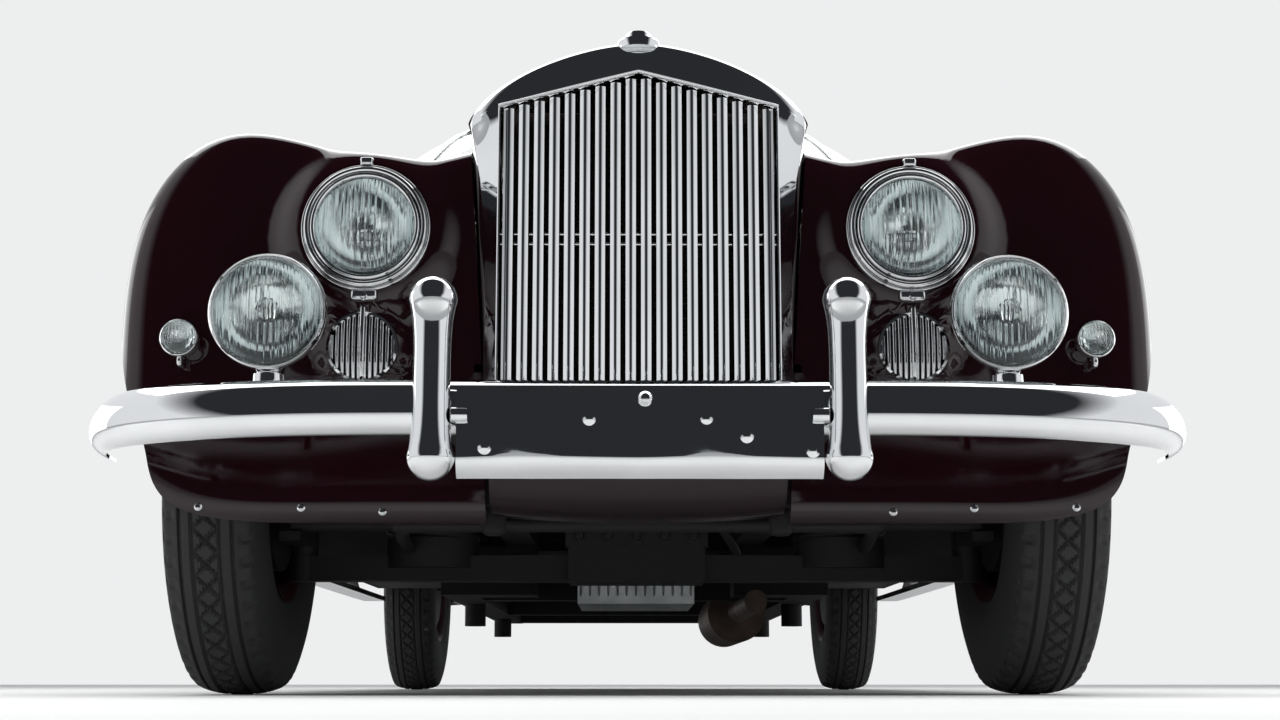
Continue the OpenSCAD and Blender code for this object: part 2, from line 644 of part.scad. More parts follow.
module lamp_lens(r) {
    y = lamp_rim_depth * rim_depth_shares[2] + lens_room;
    top = dome(r, y + lens_thickness, lens_dome);
    rotate_extrude() polygon(concat([[0, y]], [[r, y]], [for (i = [lens_steps:-1:0]) top[i]]));
}
// Places a lamp on an axis that points forwards or backwards
module lamp_front(at) {
    translate(at) rotate([90, 0, 0]) children();
}
module lamp_rear(at) {
    translate(at) rotate([-90, 0, 0]) children();
}
// Gap between a lens and the slope of the bowl behind it
lens_room = 1;
headlamp_rim = 22;
driving_lamp_y = along(-0.690);
driving_lamp_z = high(0.3575);
driving_bowl_depth = 62;
driving_rim = 10;
driving_post_r = 9;
driving_lens_r = driving_lamp_d / 2 - driving_rim;
side_rim = 6;
side_bowl_depth = 20;
tail_lamp_x = out(0.70);
tail_lamp_y = along(1.856);
tail_lamp_z = high(0.385);
tail_lamp_r = 38;
tail_rim = 7;
tail_depth = 60;
module lamp_shells() {
    color(chrome) both_sides() {
        lamp_front([headlamp_x, headlamp_y, headlamp_z])
            lamp_body(headlamp_lens_d / 2, headlamp_rim, bowl_depth, headlamp_bowl_r);
        lamp_front([driving_lamp_x, driving_lamp_y, driving_lamp_z])
            lamp_body(driving_lens_r, driving_rim, driving_bowl_depth, driving_lens_r);
        translate([driving_lamp_x, driving_lamp_y, iron_z[0]])
            cylinder(h = driving_lamp_z - iron_z[0] - driving_lens_r - clear, r = driving_post_r);
        block([iron_x + iron + clear, driving_lamp_y - driving_post_r / 2, iron_z[0] + driving_post_r],
            [driving_lamp_x, driving_lamp_y + driving_post_r / 2, iron_z[1] - driving_post_r]);
        lamp_front([side_lamp_x, side_lamp_y, side_lamp_z])
            lamp_body(side_lamp_r - side_rim, side_rim, side_bowl_depth, side_lamp_r);
        translate([side_lamp_x, side_lamp_y, side_lamp_z]) rotate([-90, 0, 0])
            cylinder(h = side_stem_length, r = side_lamp_stem_r);
        lamp_rear([tail_lamp_x, tail_lamp_y, tail_lamp_z])
            lamp_body(tail_lamp_r - tail_rim, tail_rim, tail_depth, tail_lamp_r);
    }
}
module lamp_lenses() {
    color("white", 0.6) both_sides() {
        lamp_front([headlamp_x, headlamp_y, headlamp_z]) lamp_lens(headlamp_lens_d / 2);
        lamp_front([driving_lamp_x, driving_lamp_y, driving_lamp_z]) lamp_lens(driving_lens_r);
        lamp_front([side_lamp_x, side_lamp_y, side_lamp_z]) lamp_lens(side_lamp_r - side_rim);
        lamp_rear([tail_lamp_x, tail_lamp_y, tail_lamp_z]) lamp_lens(tail_lamp_r - tail_rim);
    }
}

// Bumpers: a rolled blade on a path that wraps round the wings
// [share of the half width, place along the car, share of the blade's full height]
front_bumper_shares = [[0, -0.930, 0.76], [0.28, -0.930, 0.76], [0.50, -0.930, 0.77], [0.68, -0.893, 0.79],
    [0.84, -0.815, 0.82], [0.92, -0.690, 0.82], [0.932, -0.520, 0.78]];
rear_bumper_shares = [[0, 1.955, 0.85], [0.28, 1.955, 0.85], [0.52, 1.955, 0.86], [0.71, 1.930, 0.90],
    [0.87, 1.865, 0.95], [0.965, 1.750, 1.0], [0.985, 1.600, 0.95]];
blade_height = 108;
blade_depth = 40;
blade_wall = 5;
front_blade_z = high(0.252);
rear_blade_z = high(0.262);
blade_steps = 11;
blade_columns = 6;
module blade(shares, z) {
    half = [for (r = shares) [out(r[0]), along(r[1]), r[2]]];
    full = concat([for (i = [len(half) - 1:-1:1]) [-half[i][0], half[i][1], half[i][2]]], half);
    n = 2 * blade_steps;
    front = shares[0][1] < 0;
    grid = [for (i = [0:n]) let (p = spline(full, i / n), q = spline(full, (i + 0.5) / n) - spline(full,
        (i - 0.5) / n),
        d = unit([q[0], q[1], 0]), o = front ? [d[1], -d[0], 0] : [-d[1], d[0], 0])
        [for (j = [0:blade_columns]) let (a = 80 * (2 * j / blade_columns - 1), b = front ? a : -a)
            [p[0], p[1], z] + o * blade_depth * (cos(b) - 1) + [0, 0, blade_height / 2 * p[2] * sin(b)]]];
    sheet(grid, blade_wall);
}
module front_bumper() {
    color(chrome) blade(front_bumper_shares, front_blade_z);
}
module rear_bumper() {
    color(chrome) blade(rear_bumper_shares, rear_blade_z);
}
// Overriders: a waisted post with ball ends, bolted to the blade
overrider_x = 288;
overrider_r = 34;
overrider_waist_r = 26;
overrider_z = [high(0.204), high(0.340)];
rear_overrider_z = [high(0.205), high(0.315)];
module overrider(y, z) {
    for (h = z) translate([overrider_x, y, h]) sphere(overrider_r);
    translate([overrider_x, y, z[0]]) cylinder(h = z[1] - z[0], r = overrider_waist_r);
}
module overriders() {
    color(chrome) both_sides() {
        overrider(along(-1) + overrider_r, overrider_z);
        overrider(along(2) - overrider_r, rear_overrider_z);
    }
}
// Bare panel between the front overriders, which takes the number plate
plate_half_width = overrider_x - overrider_r - reveal;
plate_z = [high(0.186), high(0.264)];
plate_wall = 5;
plate_y = along(-0.962);
plate_hole_x = 95;
plate_hole_r = 3.5;
plate_hole_z = high(0.222);
module plate_panel() {
    color(chrome) difference() {
        block([-plate_half_width, plate_y, plate_z[0]], [plate_half_width, plate_y + plate_wall,
            plate_z[1]]);
        both_sides() translate([plate_hole_x, plate_y - over, plate_hole_z]) rotate([-90, 0, 0])
            cylinder(h = plate_wall + 2 * over, r = plate_hole_r);
    }
}

// Chassis: box rails, narrow in front and wide behind, the front beam, cross members and the bumpers' irons
front_rail_x = [205, 265];
front_rail_z = [high(0.190), high(0.262)];
front_rail_y = [along(-0.40), along(0.220)];
rail_x = [330, 400];
rail_z = [high(0.125), high(0.187)];
kick_z = [high(0.285), high(0.342)];
kick_y = [along(0.80), along(1.30)];
rail_end = along(1.80);
join_y = along(0.175);
cross_shares = [0.26, 0.55, 0.765];
cross_depth = 70;
cross_z = high(0.155);
beam_z = [high(0.228), high(0.275)];
beam_half_depth = 75;
beam_half_width = 470;
beam_foot_x = 120;
beam_foot_z = high(0.122);
iron_x = 275;
iron = 12;
iron_z = [high(0.240), high(0.2635)];
rear_iron_z = [high(0.250), high(0.275)];
// Room between an iron's end and the curved back of the blade
iron_room = 2;
// How far the blade has curved back at the heights of its iron
function blade_seat(z, blade_z, share) = let (h = max(abs(z[0] - blade_z), abs(z[1] - blade_z)))
    blade_depth * (1 - sqrt(1 - pow(2 * h / (blade_height * share), 2)));
front_iron_end = along(front_bumper_shares[0][1]) + blade_wall + iron_room
    + blade_seat(iron_z, front_blade_z, front_bumper_shares[0][2]);
rear_iron_end = along(rear_bumper_shares[0][1]) - blade_wall - iron_room
    - blade_seat(rear_iron_z, rear_blade_z, rear_bumper_shares[0][2]);
tail_rail_z = [high(0.250), high(0.310)];
module chassis() {
    color(black) {
        both_sides() {
            block([front_rail_x[0], front_rail_y[0], front_rail_z[0]], [front_rail_x[1], front_rail_y[1],
                front_rail_z[1]]);
            block([front_rail_x[0], join_y, rail_z[0]], [rail_x[1], front_rail_y[1], rail_z[1]]);
            block([front_rail_x[0], join_y, rail_z[0]], [front_rail_x[1], front_rail_y[1],
                front_rail_z[1]]);
            block([rail_x[0], join_y, rail_z[0]], [rail_x[1], kick_y[0], rail_z[1]]);
            block([rail_x[0], kick_y[0] - cross_depth, rail_z[0]], [rail_x[1], kick_y[0], kick_z[1]]);
            block([rail_x[0], kick_y[0] - cross_depth, kick_z[0]], [rail_x[1], kick_y[1], kick_z[1]]);
            block([rail_x[0], kick_y[1] - cross_depth, tail_rail_z[0]], [rail_x[1], rail_end,
                tail_rail_z[1]]);
            block([iron_x, front_iron_end, iron_z[0]], [iron_x + iron, front_rail_y[0] + cross_depth,
                iron_z[1]]);
            block([front_rail_x[0], front_rail_y[0], front_rail_z[0]], [iron_x + iron,
                front_rail_y[0] + cross_depth, front_rail_z[1]]);
            block([rail_x[0], rail_end - cross_depth, rear_iron_z[0]], [rail_x[0] + iron, rear_iron_end,
                rear_iron_z[1]]);
        }
        block([-beam_half_width, front_axle_y - beam_half_depth, beam_z[0]],
            [beam_half_width, front_axle_y + beam_half_depth, beam_z[1]]);
        block([-beam_foot_x, front_axle_y - beam_half_depth, beam_foot_z], [beam_foot_x,
            front_axle_y + beam_half_depth, beam_z[1]]);
        block([-front_rail_x[1], front_rail_y[0], front_rail_z[0]], [front_rail_x[1],
            front_rail_y[0] + cross_depth, front_rail_z[1]]);
        block([-rail_x[0], rail_end - cross_depth, tail_rail_z[0]], [rail_x[0], rail_end, tail_rail_z[1]]);
        for (s = cross_shares) block([-rail_x[0], along(s), rail_z[0]], [rail_x[0],
            along(s) + cross_depth, cross_z]);
    }
}

// Floor, bulkhead and boot floor
floor_z = high(0.192);
floor_wall = 14;
bulkhead_y = along(0.255);
floor_y = [bulkhead_y, along(0.80)];
floor_half_width = out(0.8535);
tunnel_x = 60;
tunnel_wall = 8;
tunnel_y = along(0.285);
tunnel_z = high(0.268);
boot_floor_z = high(0.345);
boot_floor_half_width = out(0.52);
boot_floor_end = along(1.78);
bulkhead_half_width = out(0.60);
bulkhead_z = high(0.630);
module floor_pan() {
    color(black) difference() {
        union() {
            block([-floor_half_width, floor_y[0], floor_z], [floor_half_width, floor_y[1],
                floor_z + floor_wall]);
            block([-bulkhead_half_width, bulkhead_y, floor_z], [bulkhead_half_width,
                bulkhead_y + floor_wall, bulkhead_z]);
            block([-tunnel_x, tunnel_y, floor_z], [tunnel_x, floor_y[1], tunnel_z]);
            block([-boot_floor_half_width, floor_y[1] - floor_wall, floor_z],
                [boot_floor_half_width, floor_y[1], boot_floor_z + floor_wall]);
            block([-boot_floor_half_width, floor_y[1] - floor_wall, boot_floor_z],
                [boot_floor_half_width, boot_floor_end, boot_floor_z + floor_wall]);
        }
        both_sides() block([rail_x[0] - clear, kick_y[0] - cross_depth - clear, 0],
            [rail_x[1] + clear, floor_y[1] + over, kick_z[1] + clear]);
        block([tunnel_wall - tunnel_x, tunnel_y + tunnel_wall, 0], [tunnel_x - tunnel_wall,
            floor_y[1] + over, tunnel_z - tunnel_wall]);
    }
}

// Engine and gearbox as one closed mass, with the oil pan that shows below
engine_x = 150;
engine_y = [along(-0.36), along(0.20)];
engine_z = [high(0.285), high(0.570)];
pan_x = 108;
pan_y = [along(0.040), along(0.160)];
pan_z = high(0.103);
gearbox_x = 95;
gearbox_y = along(0.245);
gearbox_z = high(0.200);
module engine() {
    color("dimgray") {
        block([-engine_x, engine_y[0], engine_z[0]], [engine_x, engine_y[1], engine_z[1]]);
        block([-pan_x, pan_y[0], pan_z], [pan_x, pan_y[1], engine_z[0] + over]);
        block([-gearbox_x, pan_y[1] - over, gearbox_z], [gearbox_x, gearbox_y, engine_z[0] + over]);
        block([-pan_x, front_axle_y - beam_half_depth / 2, beam_z[1] + clear], [pan_x,
            front_axle_y + beam_half_depth / 2, engine_z[0] + over]);
    }
}

// Exhaust: a pipe along one side with its silencer
exhaust_x = 235;
pipe_r = 22;
exhaust_z = rail_z[0] - clear - pipe_r;
silencer_r = 66;
silencer_y = [along(0.31), along(0.50)];
pipe_y = [along(0.10), along(0.70)];
module exhaust() {
    color("gray") {
        translate([exhaust_x, pipe_y[0], exhaust_z]) rotate([-90, 0, 0])
            cylinder(h = pipe_y[1] - pipe_y[0], r = pipe_r);
        translate([exhaust_x, silencer_y[0], exhaust_z]) rotate([-90, 0, 0])
            cylinder(h = silencer_y[1] - silencer_y[0], r = silencer_r);
    }
}

// Front suspension: lower arms with spring pans, coil springs, upper arms and the anti-roll bar
arm_z = high(0.138);
arm_r = 22;
arm_inner_x = beam_foot_x + clear;
arm_spread = 52;
king_offset = 103;
pivot_x = front_track / 2 - king_offset;
king_play = 2;
pivot_r = 26;
upper_arm_z = high(0.330);
upper_arm_r = 14;
upper_inner_x = 300;
upper_spread = 55;
spring_x = 365;
spring_r = 82;
spring_core_r = 60;
spring_coils = 3;
spring_seat = 12;
spring_foot_z = arm_z + arm_r + spring_seat;
roll_bar_r = 12;
roll_bar_x = 400;
roll_bar_y = along(-0.35);
roll_bar_z = high(0.172);
roll_clamp = [40, 26];
roll_clamp_x = 235;
module plate(points, z, thickness) {
    translate([0, front_axle_y, z]) linear_extrude(thickness) polygon(points);
}
module front_suspension() {
    coil = (beam_z[0] - clear - spring_foot_z) / spring_coils;
    color(black) {
        both_sides() {
            plate([[arm_inner_x, -arm_spread], [pivot_x, -arm_r], [pivot_x, arm_r], [arm_inner_x,
                arm_spread]], arm_z - arm_r, 2 * arm_r);
            translate([pivot_x, front_axle_y, arm_z - arm_r]) cylinder(h = 2 * arm_r, r = pivot_r);
            translate([spring_x, front_axle_y, 0]) rotate_extrude() polygon(concat([[0, arm_z]],
                [[spring_r, arm_z]],
                [for (i = [0:spring_coils - 1]) each [[spring_r, spring_foot_z + coil * i], [spring_r,
                    spring_foot_z + coil * (i + 0.5)],
                    [spring_core_r, spring_foot_z + coil * (i + 0.55)], [spring_core_r,
                        spring_foot_z + coil * (i + 0.95)]]],
                [[spring_core_r, beam_z[0] - clear], [0, beam_z[0] - clear]]));
            plate([[upper_inner_x, -upper_spread], [pivot_x, -upper_arm_r], [pivot_x, upper_arm_r],
                [upper_inner_x, upper_spread]],
                upper_arm_z - upper_arm_r, 2 * upper_arm_r);
            translate([pivot_x, front_axle_y, upper_arm_z - upper_arm_r]) cylinder(h = 2 * upper_arm_r,
                r = pivot_r);
            block([upper_inner_x, front_axle_y - upper_spread, beam_z[1] + clear],
                [upper_inner_x + 2 * upper_arm_r, front_axle_y + upper_spread, upper_arm_z]);
        }
        bar([-roll_bar_x, roll_bar_y, roll_bar_z], [roll_bar_x, roll_bar_y, roll_bar_z], roll_bar_r);
        both_sides() block([roll_clamp_x - roll_clamp[0] / 2, roll_bar_y - roll_clamp[1] / 2, roll_bar_z],
            [roll_clamp_x + roll_clamp[0] / 2, roll_bar_y + roll_clamp[1] / 2, front_rail_z[0] - clear]);
    }
}

// Rear axle with its differential, drums and the propeller shaft
axle_r = 38;
diff_r = 130;
shaft_r = 30;
hub_r = 32;
hub_inset = 60;
hub_reach = 10;
drum_r = 150;
drum_a = [-62, -16];
shaft_end = along(0.300);
module hub(x, y) {
    translate([x - hub_inset, y, axle_z]) rotate([0, 90, 0]) cylinder(h = hub_inset + hub_reach, r = hub_r);
    translate([x + drum_a[0], y, axle_z]) rotate([0, 90, 0]) cylinder(h = drum_a[1] - drum_a[0],
        r = drum_r);
}
module rear_axle() {
    half = rear_track / 2;
    color(black) {
        turned([0, rear_axle_y, axle_z]) polygon(axle_profile(half));
        bar([0, rear_axle_y - diff_r / 2, lerp(axle_z, shaft_z, shaft_share)], [0, shaft_end, shaft_z],
            shaft_r);
    }
}
// Share of the shaft's fall where it leaves the differential
shaft_share = diff_r / 2 / (rear_axle_y - shaft_end);
// Half outline of the axle about its own line: stub, drum, tube and the round differential in the middle
function axle_profile(half) = let (side = [[hub_r, half + hub_reach], [hub_r, half + drum_a[1]],
    [drum_r, half + drum_a[1]], [drum_r, half + drum_a[0]], [axle_r, half + drum_a[0]], [axle_r, diff_r],
    [diff_r * diff_neck_share, diff_r * diff_neck_share], [diff_r, diff_r * diff_flat_share]])
    concat([[0, half + hub_reach]], side, [for (i = [len(side) - 1:-1:0]) [side[i][0], -side[i][1]]],
        [[0, -half - hub_reach]]);
// Shares of the differential's radius where its cover begins to round off and where its neck starts
diff_flat_share = 0.35;
diff_neck_share = 0.80;
shaft_z = high(0.160);
leaf_x = 480;
leaf_width = 45;
leaf_length = rear_axle_y - floor_y[1] - clear;
leaf_height = 24;
leaf_z = axle_z - axle_r - clear - leaf_height;
module leaf_springs() {
    color(black) both_sides() block([leaf_x - leaf_width / 2, rear_axle_y - leaf_length, leaf_z],
        [leaf_x + leaf_width / 2, rear_axle_y + leaf_length, leaf_z + leaf_height]);
}
tank_y = [along(1.34), along(1.72)];
tank_half_width = 300;
tank_z = [high(0.200), boot_floor_z - clear];
module fuel_tank() {
    color(black) block([-tank_half_width, tank_y[0], tank_z[0]], [tank_half_width, tank_y[1], tank_z[1]]);
}
socket_r = 16;
socket_outer_r = 24;
socket_length = 50;
socket_roof = 8;
socket_shares = [0.33, 0.66];
module jack_sockets() {
    color(black) both_sides() for (s = socket_shares)
        translate([(rail_x[0] + rail_x[1]) / 2, along(s), rail_z[0] - clear - socket_length]) difference() {
            cylinder(h = socket_length, r = socket_outer_r);
            translate([0, 0, -over]) cylinder(h = socket_length + over - socket_roof, r = socket_r);
        }
}

// Seats, dashboard and steering
seat_half_width = 250;
seat_x = 330;
seat_z = [floor_z + floor_wall + clear, high(0.350)];
seat_y = [along(0.470), along(0.620)];
seat_back_top = high(0.640);
seat_back_depth = 110;
seat_lean = 14;
rear_seat_y = [along(0.690), along(0.745)];
rear_seat_half_width = 540;
rear_back_y = [along(0.806), along(0.842)];
module seats() {
    color("saddlebrown") {
        both_sides() {
            block([seat_x - seat_half_width, seat_y[0], seat_z[0]], [seat_x + seat_half_width, seat_y[1],
                seat_z[1]]);
            translate([seat_x - seat_half_width, seat_y[1], seat_z[1]]) rotate([-seat_lean, 0, 0])
                translate([0, -seat_back_depth, -seat_back_depth]) cube([2 * seat_half_width,
                    seat_back_depth, seat_back_top - seat_z[1]]);
        }
        difference() {
            block([-rear_seat_half_width, rear_seat_y[0], seat_z[0]], [rear_seat_half_width,
                rear_seat_y[1], seat_z[1]]);
            block([-tunnel_x - clear, along(0.6), 0], [tunnel_x + clear, along(0.8), tunnel_z + clear]);
        }
        block([-rear_seat_half_width, rear_back_y[0], boot_floor_z + floor_wall + clear],
            [rear_seat_half_width, rear_back_y[1], seat_back_top]);
    }
}
dash_y = [along(0.345), along(0.372)];
dash_z = [high(0.555), high(0.650)];
dash_half_width = out(0.655);
steering_r = 215;
steering_at = [-seat_x, along(0.420), high(0.600)];
steering_tilt = 58;
steering_rim_r = 13;
steering_hub_r = 38;
steering_hub_half = 22;
spoke_r = 8;
column_r = 20;
module dashboard() {
    axis = [0, sin(steering_tilt), cos(steering_tilt)];
    reach = (steering_at[1] - bulkhead_y - floor_wall - clear - column_r * axis[2]) / axis[1];
    color("peru") {
        block([-dash_half_width, dash_y[0], dash_z[0]], [dash_half_width, dash_y[1], dash_z[1]]);
        bar(steering_at - axis * reach, steering_at - axis * (steering_hub_half + clear), column_r);
    }
}
module steering_wheel() {
    color(black) translate(steering_at) rotate([-steering_tilt, 0, 0]) {
        rotate_extrude() translate([steering_r, 0]) circle(steering_rim_r);
        for (a = [90, 210, 330]) rotate([0, 0, a]) rotate([0, 90, 0]) cylinder(h = steering_r, r = spoke_r);
        cylinder(h = 2 * steering_hub_half, r = steering_hub_r, center = true);
    }
}

// Wheels: a pressed rim and disc with a domed hub cap, and a tyre
rim_wall = 20;
disc_half = 10;
cap_outer_r = 112;
cap_wall = 6;
cap_a = [disc_half, 46, 70, 80];
cap_shares = [1.0, 0.97, 0.72, 0.30];
shoulder = [34, 28];
sidewall_r = 55;
tread_crown = 4;
module wheel(x, y, side) {
    r = rim_diameter / 2;
    color(paint) at_side(side) turned([x, y, axle_z]) {
        polygon([[hub_r + clear, -disc_half], [r - rim_wall / 2, -disc_half], [r - rim_wall / 2,
            -rim_width / 2], [r, -rim_width / 2],
            [r, rim_width / 2], [r - rim_wall / 2, rim_width / 2], [r - rim_wall / 2, disc_half],
                [hub_r + clear, disc_half]]);
        polygon(concat([for (i = [0:3]) [cap_outer_r * cap_shares[i], cap_a[i]]], [[0,
            cap_a[3] + cap_wall / 2], [0, cap_a[3] - cap_wall]],
            [for (i = [3:-1:0]) [cap_outer_r * cap_shares[i] - cap_wall,
                cap_a[i] - (i > 0 ? cap_wall : cap_wall)]]));
    }
}
module tyre(x, y, side) {
    r = rim_diameter / 2 + clear;
    w = tyre_width / 2;
    color(black) at_side(side) turned([x, y, axle_z]) polygon([[r, -rim_width / 2], [r + sidewall_r, -w],
        [tyre_r - shoulder[0], -w],
        [tyre_r - tread_crown, -w + shoulder[1]], [tyre_r, 0], [tyre_r - tread_crown, w - shoulder[1]],
            [tyre_r - shoulder[0], w],
        [r + sidewall_r, w], [r, rim_width / 2]]);
}
arm_reach = 140;
steer_arm = [18, 16];
steer_z = high(0.163);
rod_r = 11;
module knuckle(side) {
    low = arm_z + arm_r + clear;
    color(black) at_side(side) {
        translate([pivot_x, front_axle_y, low]) cylinder(h = upper_arm_z - upper_arm_r - clear - low,
            r = pivot_r - king_play);
        translate([pivot_x, front_axle_y, axle_z]) rotate([0, 90, 0])
            cylinder(h = front_track / 2 - pivot_x, r = hub_r);
        hub(front_track / 2, front_axle_y);
        block([pivot_x - steer_arm[0], front_axle_y - arm_reach - steer_arm[0], steer_z],
            [pivot_x + steer_arm[0], front_axle_y, steer_z + steer_arm[1]]);
    }
}
module track_rod() {
    z = steer_z + steer_arm[1] + clear + rod_r;
    color(black) bar([-pivot_x, front_axle_y - arm_reach, z], [pivot_x, front_axle_y - arm_reach, z],
        rod_r);
}

chassis();
floor_pan();  // floor
engine();
radiator_core();
exhaust();
front_suspension();
rear_axle();
leaf_springs();
fuel_tank();
jack_sockets();
front_wing(1);  // front_wing_left
front_wing(-1);  // front_wing_right
front_apron();
radiator_shell();
grilles();
lamp_shells();
lamp_lenses();
front_bumper();
rear_bumper();
overriders();
plate_panel();
sills();
scuttle();
roof();
rear_wing(1);  // rear_wing_left
rear_wing(-1);  // rear_wing_right
fixed_glass();
seats();
dashboard();
bonnet_hinge();
bonnet(1);  // bonnet_left
bonnet(-1);  // bonnet_right
door(1);  // door_left
door(-1);  // door_right
door_glass(1);  // door_glass_left
door_glass(-1);  // door_glass_right
boot_lid();
steering_wheel();
knuckle(1);  // knuckle_left
knuckle(-1);  // knuckle_right
track_rod();
wheel(front_track / 2, front_axle_y, 1);  // wheel_front_left
wheel(front_track / 2, front_axle_y, -1);  // wheel_front_right
wheel(rear_track / 2, rear_axle_y, 1);  // wheel_rear_left
wheel(rear_track / 2, rear_axle_y, -1);  // wheel_rear_right
tyre(front_track / 2, front_axle_y, 1);  // tyre_front_left
tyre(front_track / 2, front_axle_y, -1);  // tyre_front_right
tyre(rear_track / 2, rear_axle_y, 1);  // tyre_rear_left
tyre(rear_track / 2, rear_axle_y, -1);  // tyre_rear_right
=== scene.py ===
"""Looks of a grand touring fastback of the 1950s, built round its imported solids.

Metres, +Z up, the car faces -Y and its left is +X. Every new piece is a surface worked out with numpy in the
frame of the solids, so each one sits where the solid that it stands for sits.
"""

import logging
from collections.abc import Callable, Sequence
from dataclasses import dataclass, field, replace
from enum import Enum

import bmesh
import bpy
import numpy as np
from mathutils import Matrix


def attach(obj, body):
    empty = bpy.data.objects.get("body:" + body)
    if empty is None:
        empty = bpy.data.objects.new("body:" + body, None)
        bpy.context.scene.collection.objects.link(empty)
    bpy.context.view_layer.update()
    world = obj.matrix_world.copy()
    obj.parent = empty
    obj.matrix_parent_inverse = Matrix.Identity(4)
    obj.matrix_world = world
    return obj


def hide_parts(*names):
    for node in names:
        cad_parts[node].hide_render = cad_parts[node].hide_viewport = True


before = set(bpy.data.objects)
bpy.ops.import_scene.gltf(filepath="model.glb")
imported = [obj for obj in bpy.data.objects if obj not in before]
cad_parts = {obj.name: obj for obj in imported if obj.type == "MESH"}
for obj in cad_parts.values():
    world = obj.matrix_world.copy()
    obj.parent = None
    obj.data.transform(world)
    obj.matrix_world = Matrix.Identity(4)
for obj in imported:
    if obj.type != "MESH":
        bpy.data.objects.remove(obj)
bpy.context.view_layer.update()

Array = np.ndarray
Field = Callable[[Array], Array]
Colour = tuple[float, float, float]
log = logging.getLogger("car")
MERGE = 1e-6
SMOOTH_ANGLE = np.radians(38.0)
TURN = 2.0 * np.pi
TONE_SPAN = (0.3, 0.7)
GRAIN_SCALE = 3.0
CLOUD_DETAIL, BAND_DETAIL = 6.0, 4.0


class Side(Enum):
    """Side of the car, by the sign of x."""

    LEFT = 1
    RIGHT = -1

    @property
    def word(self) -> str:
        """The side's name, as the nodes spell it."""
        return self.name.lower()


class Pattern(Enum):
    """Kind of texture that breaks up a finish: its node, and how far its bands wander."""

    CLOUD = ("ShaderNodeTexNoise", 0.0)
    CELLS = ("ShaderNodeTexVoronoi", 0.0)
    BANDS = ("ShaderNodeTexWave", 6.0)
    FLUTES = ("ShaderNodeTexWave", 0.0)


@dataclass(frozen=True)
class Finish:
    """A surface finish on one principled shader.

    The texture, in object coordinates, runs the colour from dark to light, the roughness through its band
    and the bump by its height. What is even all over the surface is set on the shader's own sockets.
    """

    name: str
    dark: Colour
    light: Colour
    roughness: tuple[float, float]
    scale: float = 12.0
    bump: float = 0.0
    bump_scale: float = 200.0
    stretch: tuple[float, float, float] = (1.0, 1.0, 1.0)
    pattern: Pattern = Pattern.CLOUD
    metallic: float = 0.0
    coat: float = 0.0
    coat_roughness: float = 0.03
    transmission: float = 0.0
    ior: float = 1.5
    sheen: float = 0.0
    slot: str = ""

    def material(self) -> bpy.types.Material:
        """Makes the material once, and gives the same one again afterwards.

        Returns:
            The node material of this finish.
        """
        found = bpy.data.materials.get(self.name)
        if found:
            return found
        made = bpy.data.materials.new(self.name)
        made.use_nodes = True
        tree = made.node_tree
        new, link = tree.nodes.new, tree.links.new
        shader = tree.nodes["Principled BSDF"]
        for socket, value in (
            ("Metallic", self.metallic), ("Coat Weight", self.coat), ("Coat Roughness", self.coat_roughness),
            ("Transmission Weight", self.transmission), ("IOR", self.ior), ("Sheen Weight", self.sheen),
        ):
            shader.inputs[socket].default_value = value
        place = new("ShaderNodeTexCoord")
        turned = new("ShaderNodeMapping")
        turned.inputs["Scale"].default_value = self.stretch
        link(place.outputs["Object"], turned.inputs["Vector"])
        broad = self._texture(tree, self.pattern, self.scale, turned)
        tones = new("ShaderNodeValToRGB")
        tones.color_ramp.elements[0].position = TONE_SPAN[0]
        tones.color_ramp.elements[1].position = TONE_SPAN[1]
        tones.color_ramp.elements[0].color = (*self.dark, 1.0)
        tones.color_ramp.elements[1].color = (*self.light, 1.0)
        link(broad, tones.inputs["Fac"])
        link(tones.outputs["Color"], shader.inputs["Base Color"])
        rough = new("ShaderNodeMapRange")
        rough.inputs["To Min"].default_value = self.roughness[0]
        rough.inputs["To Max"].default_value = self.roughness[1]
        grain = self._texture(tree, Pattern.CLOUD, self.scale * GRAIN_SCALE, turned)
        link(grain, rough.inputs["Value"])
        link(rough.outputs["Result"], shader.inputs["Roughness"])
        if self.bump > 0.0:
            kind = self.pattern if self.pattern is not Pattern.BANDS else Pattern.CLOUD
            relief = self._texture(tree, kind, self.bump_scale, turned)
            bump = new("ShaderNodeBump")
            bump.inputs["Distance"].default_value = self.bump
            link(relief, bump.inputs["Height"])
            link(bump.outputs["Normal"], shader.inputs["Normal"])
        return made

    @staticmethod
    def _texture(tree: bpy.types.NodeTree, kind: Pattern, scale: float,
                 place: bpy.types.Node) -> bpy.types.NodeSocket:
        """Adds one texture on a mapped place.

        Args:
            tree: Node tree to add to.
            kind: Kind of texture.
            scale: Repeats to the metre.
            place: Mapping node that the texture reads.

        Returns:
            The socket with the texture's value.
        """
        node = tree.nodes.new(kind.value[0])
        node.inputs["Scale"].default_value = scale
        tree.links.new(place.outputs["Vector"], node.inputs["Vector"])
        if kind is Pattern.CLOUD:
            node.inputs["Detail"].default_value = CLOUD_DETAIL
        if kind in (Pattern.BANDS, Pattern.FLUTES):
            node.inputs["Distortion"].default_value = kind.value[1]
            node.inputs["Detail"].default_value = BAND_DETAIL
        return node.outputs["Distance" if kind is Pattern.CELLS else 0]


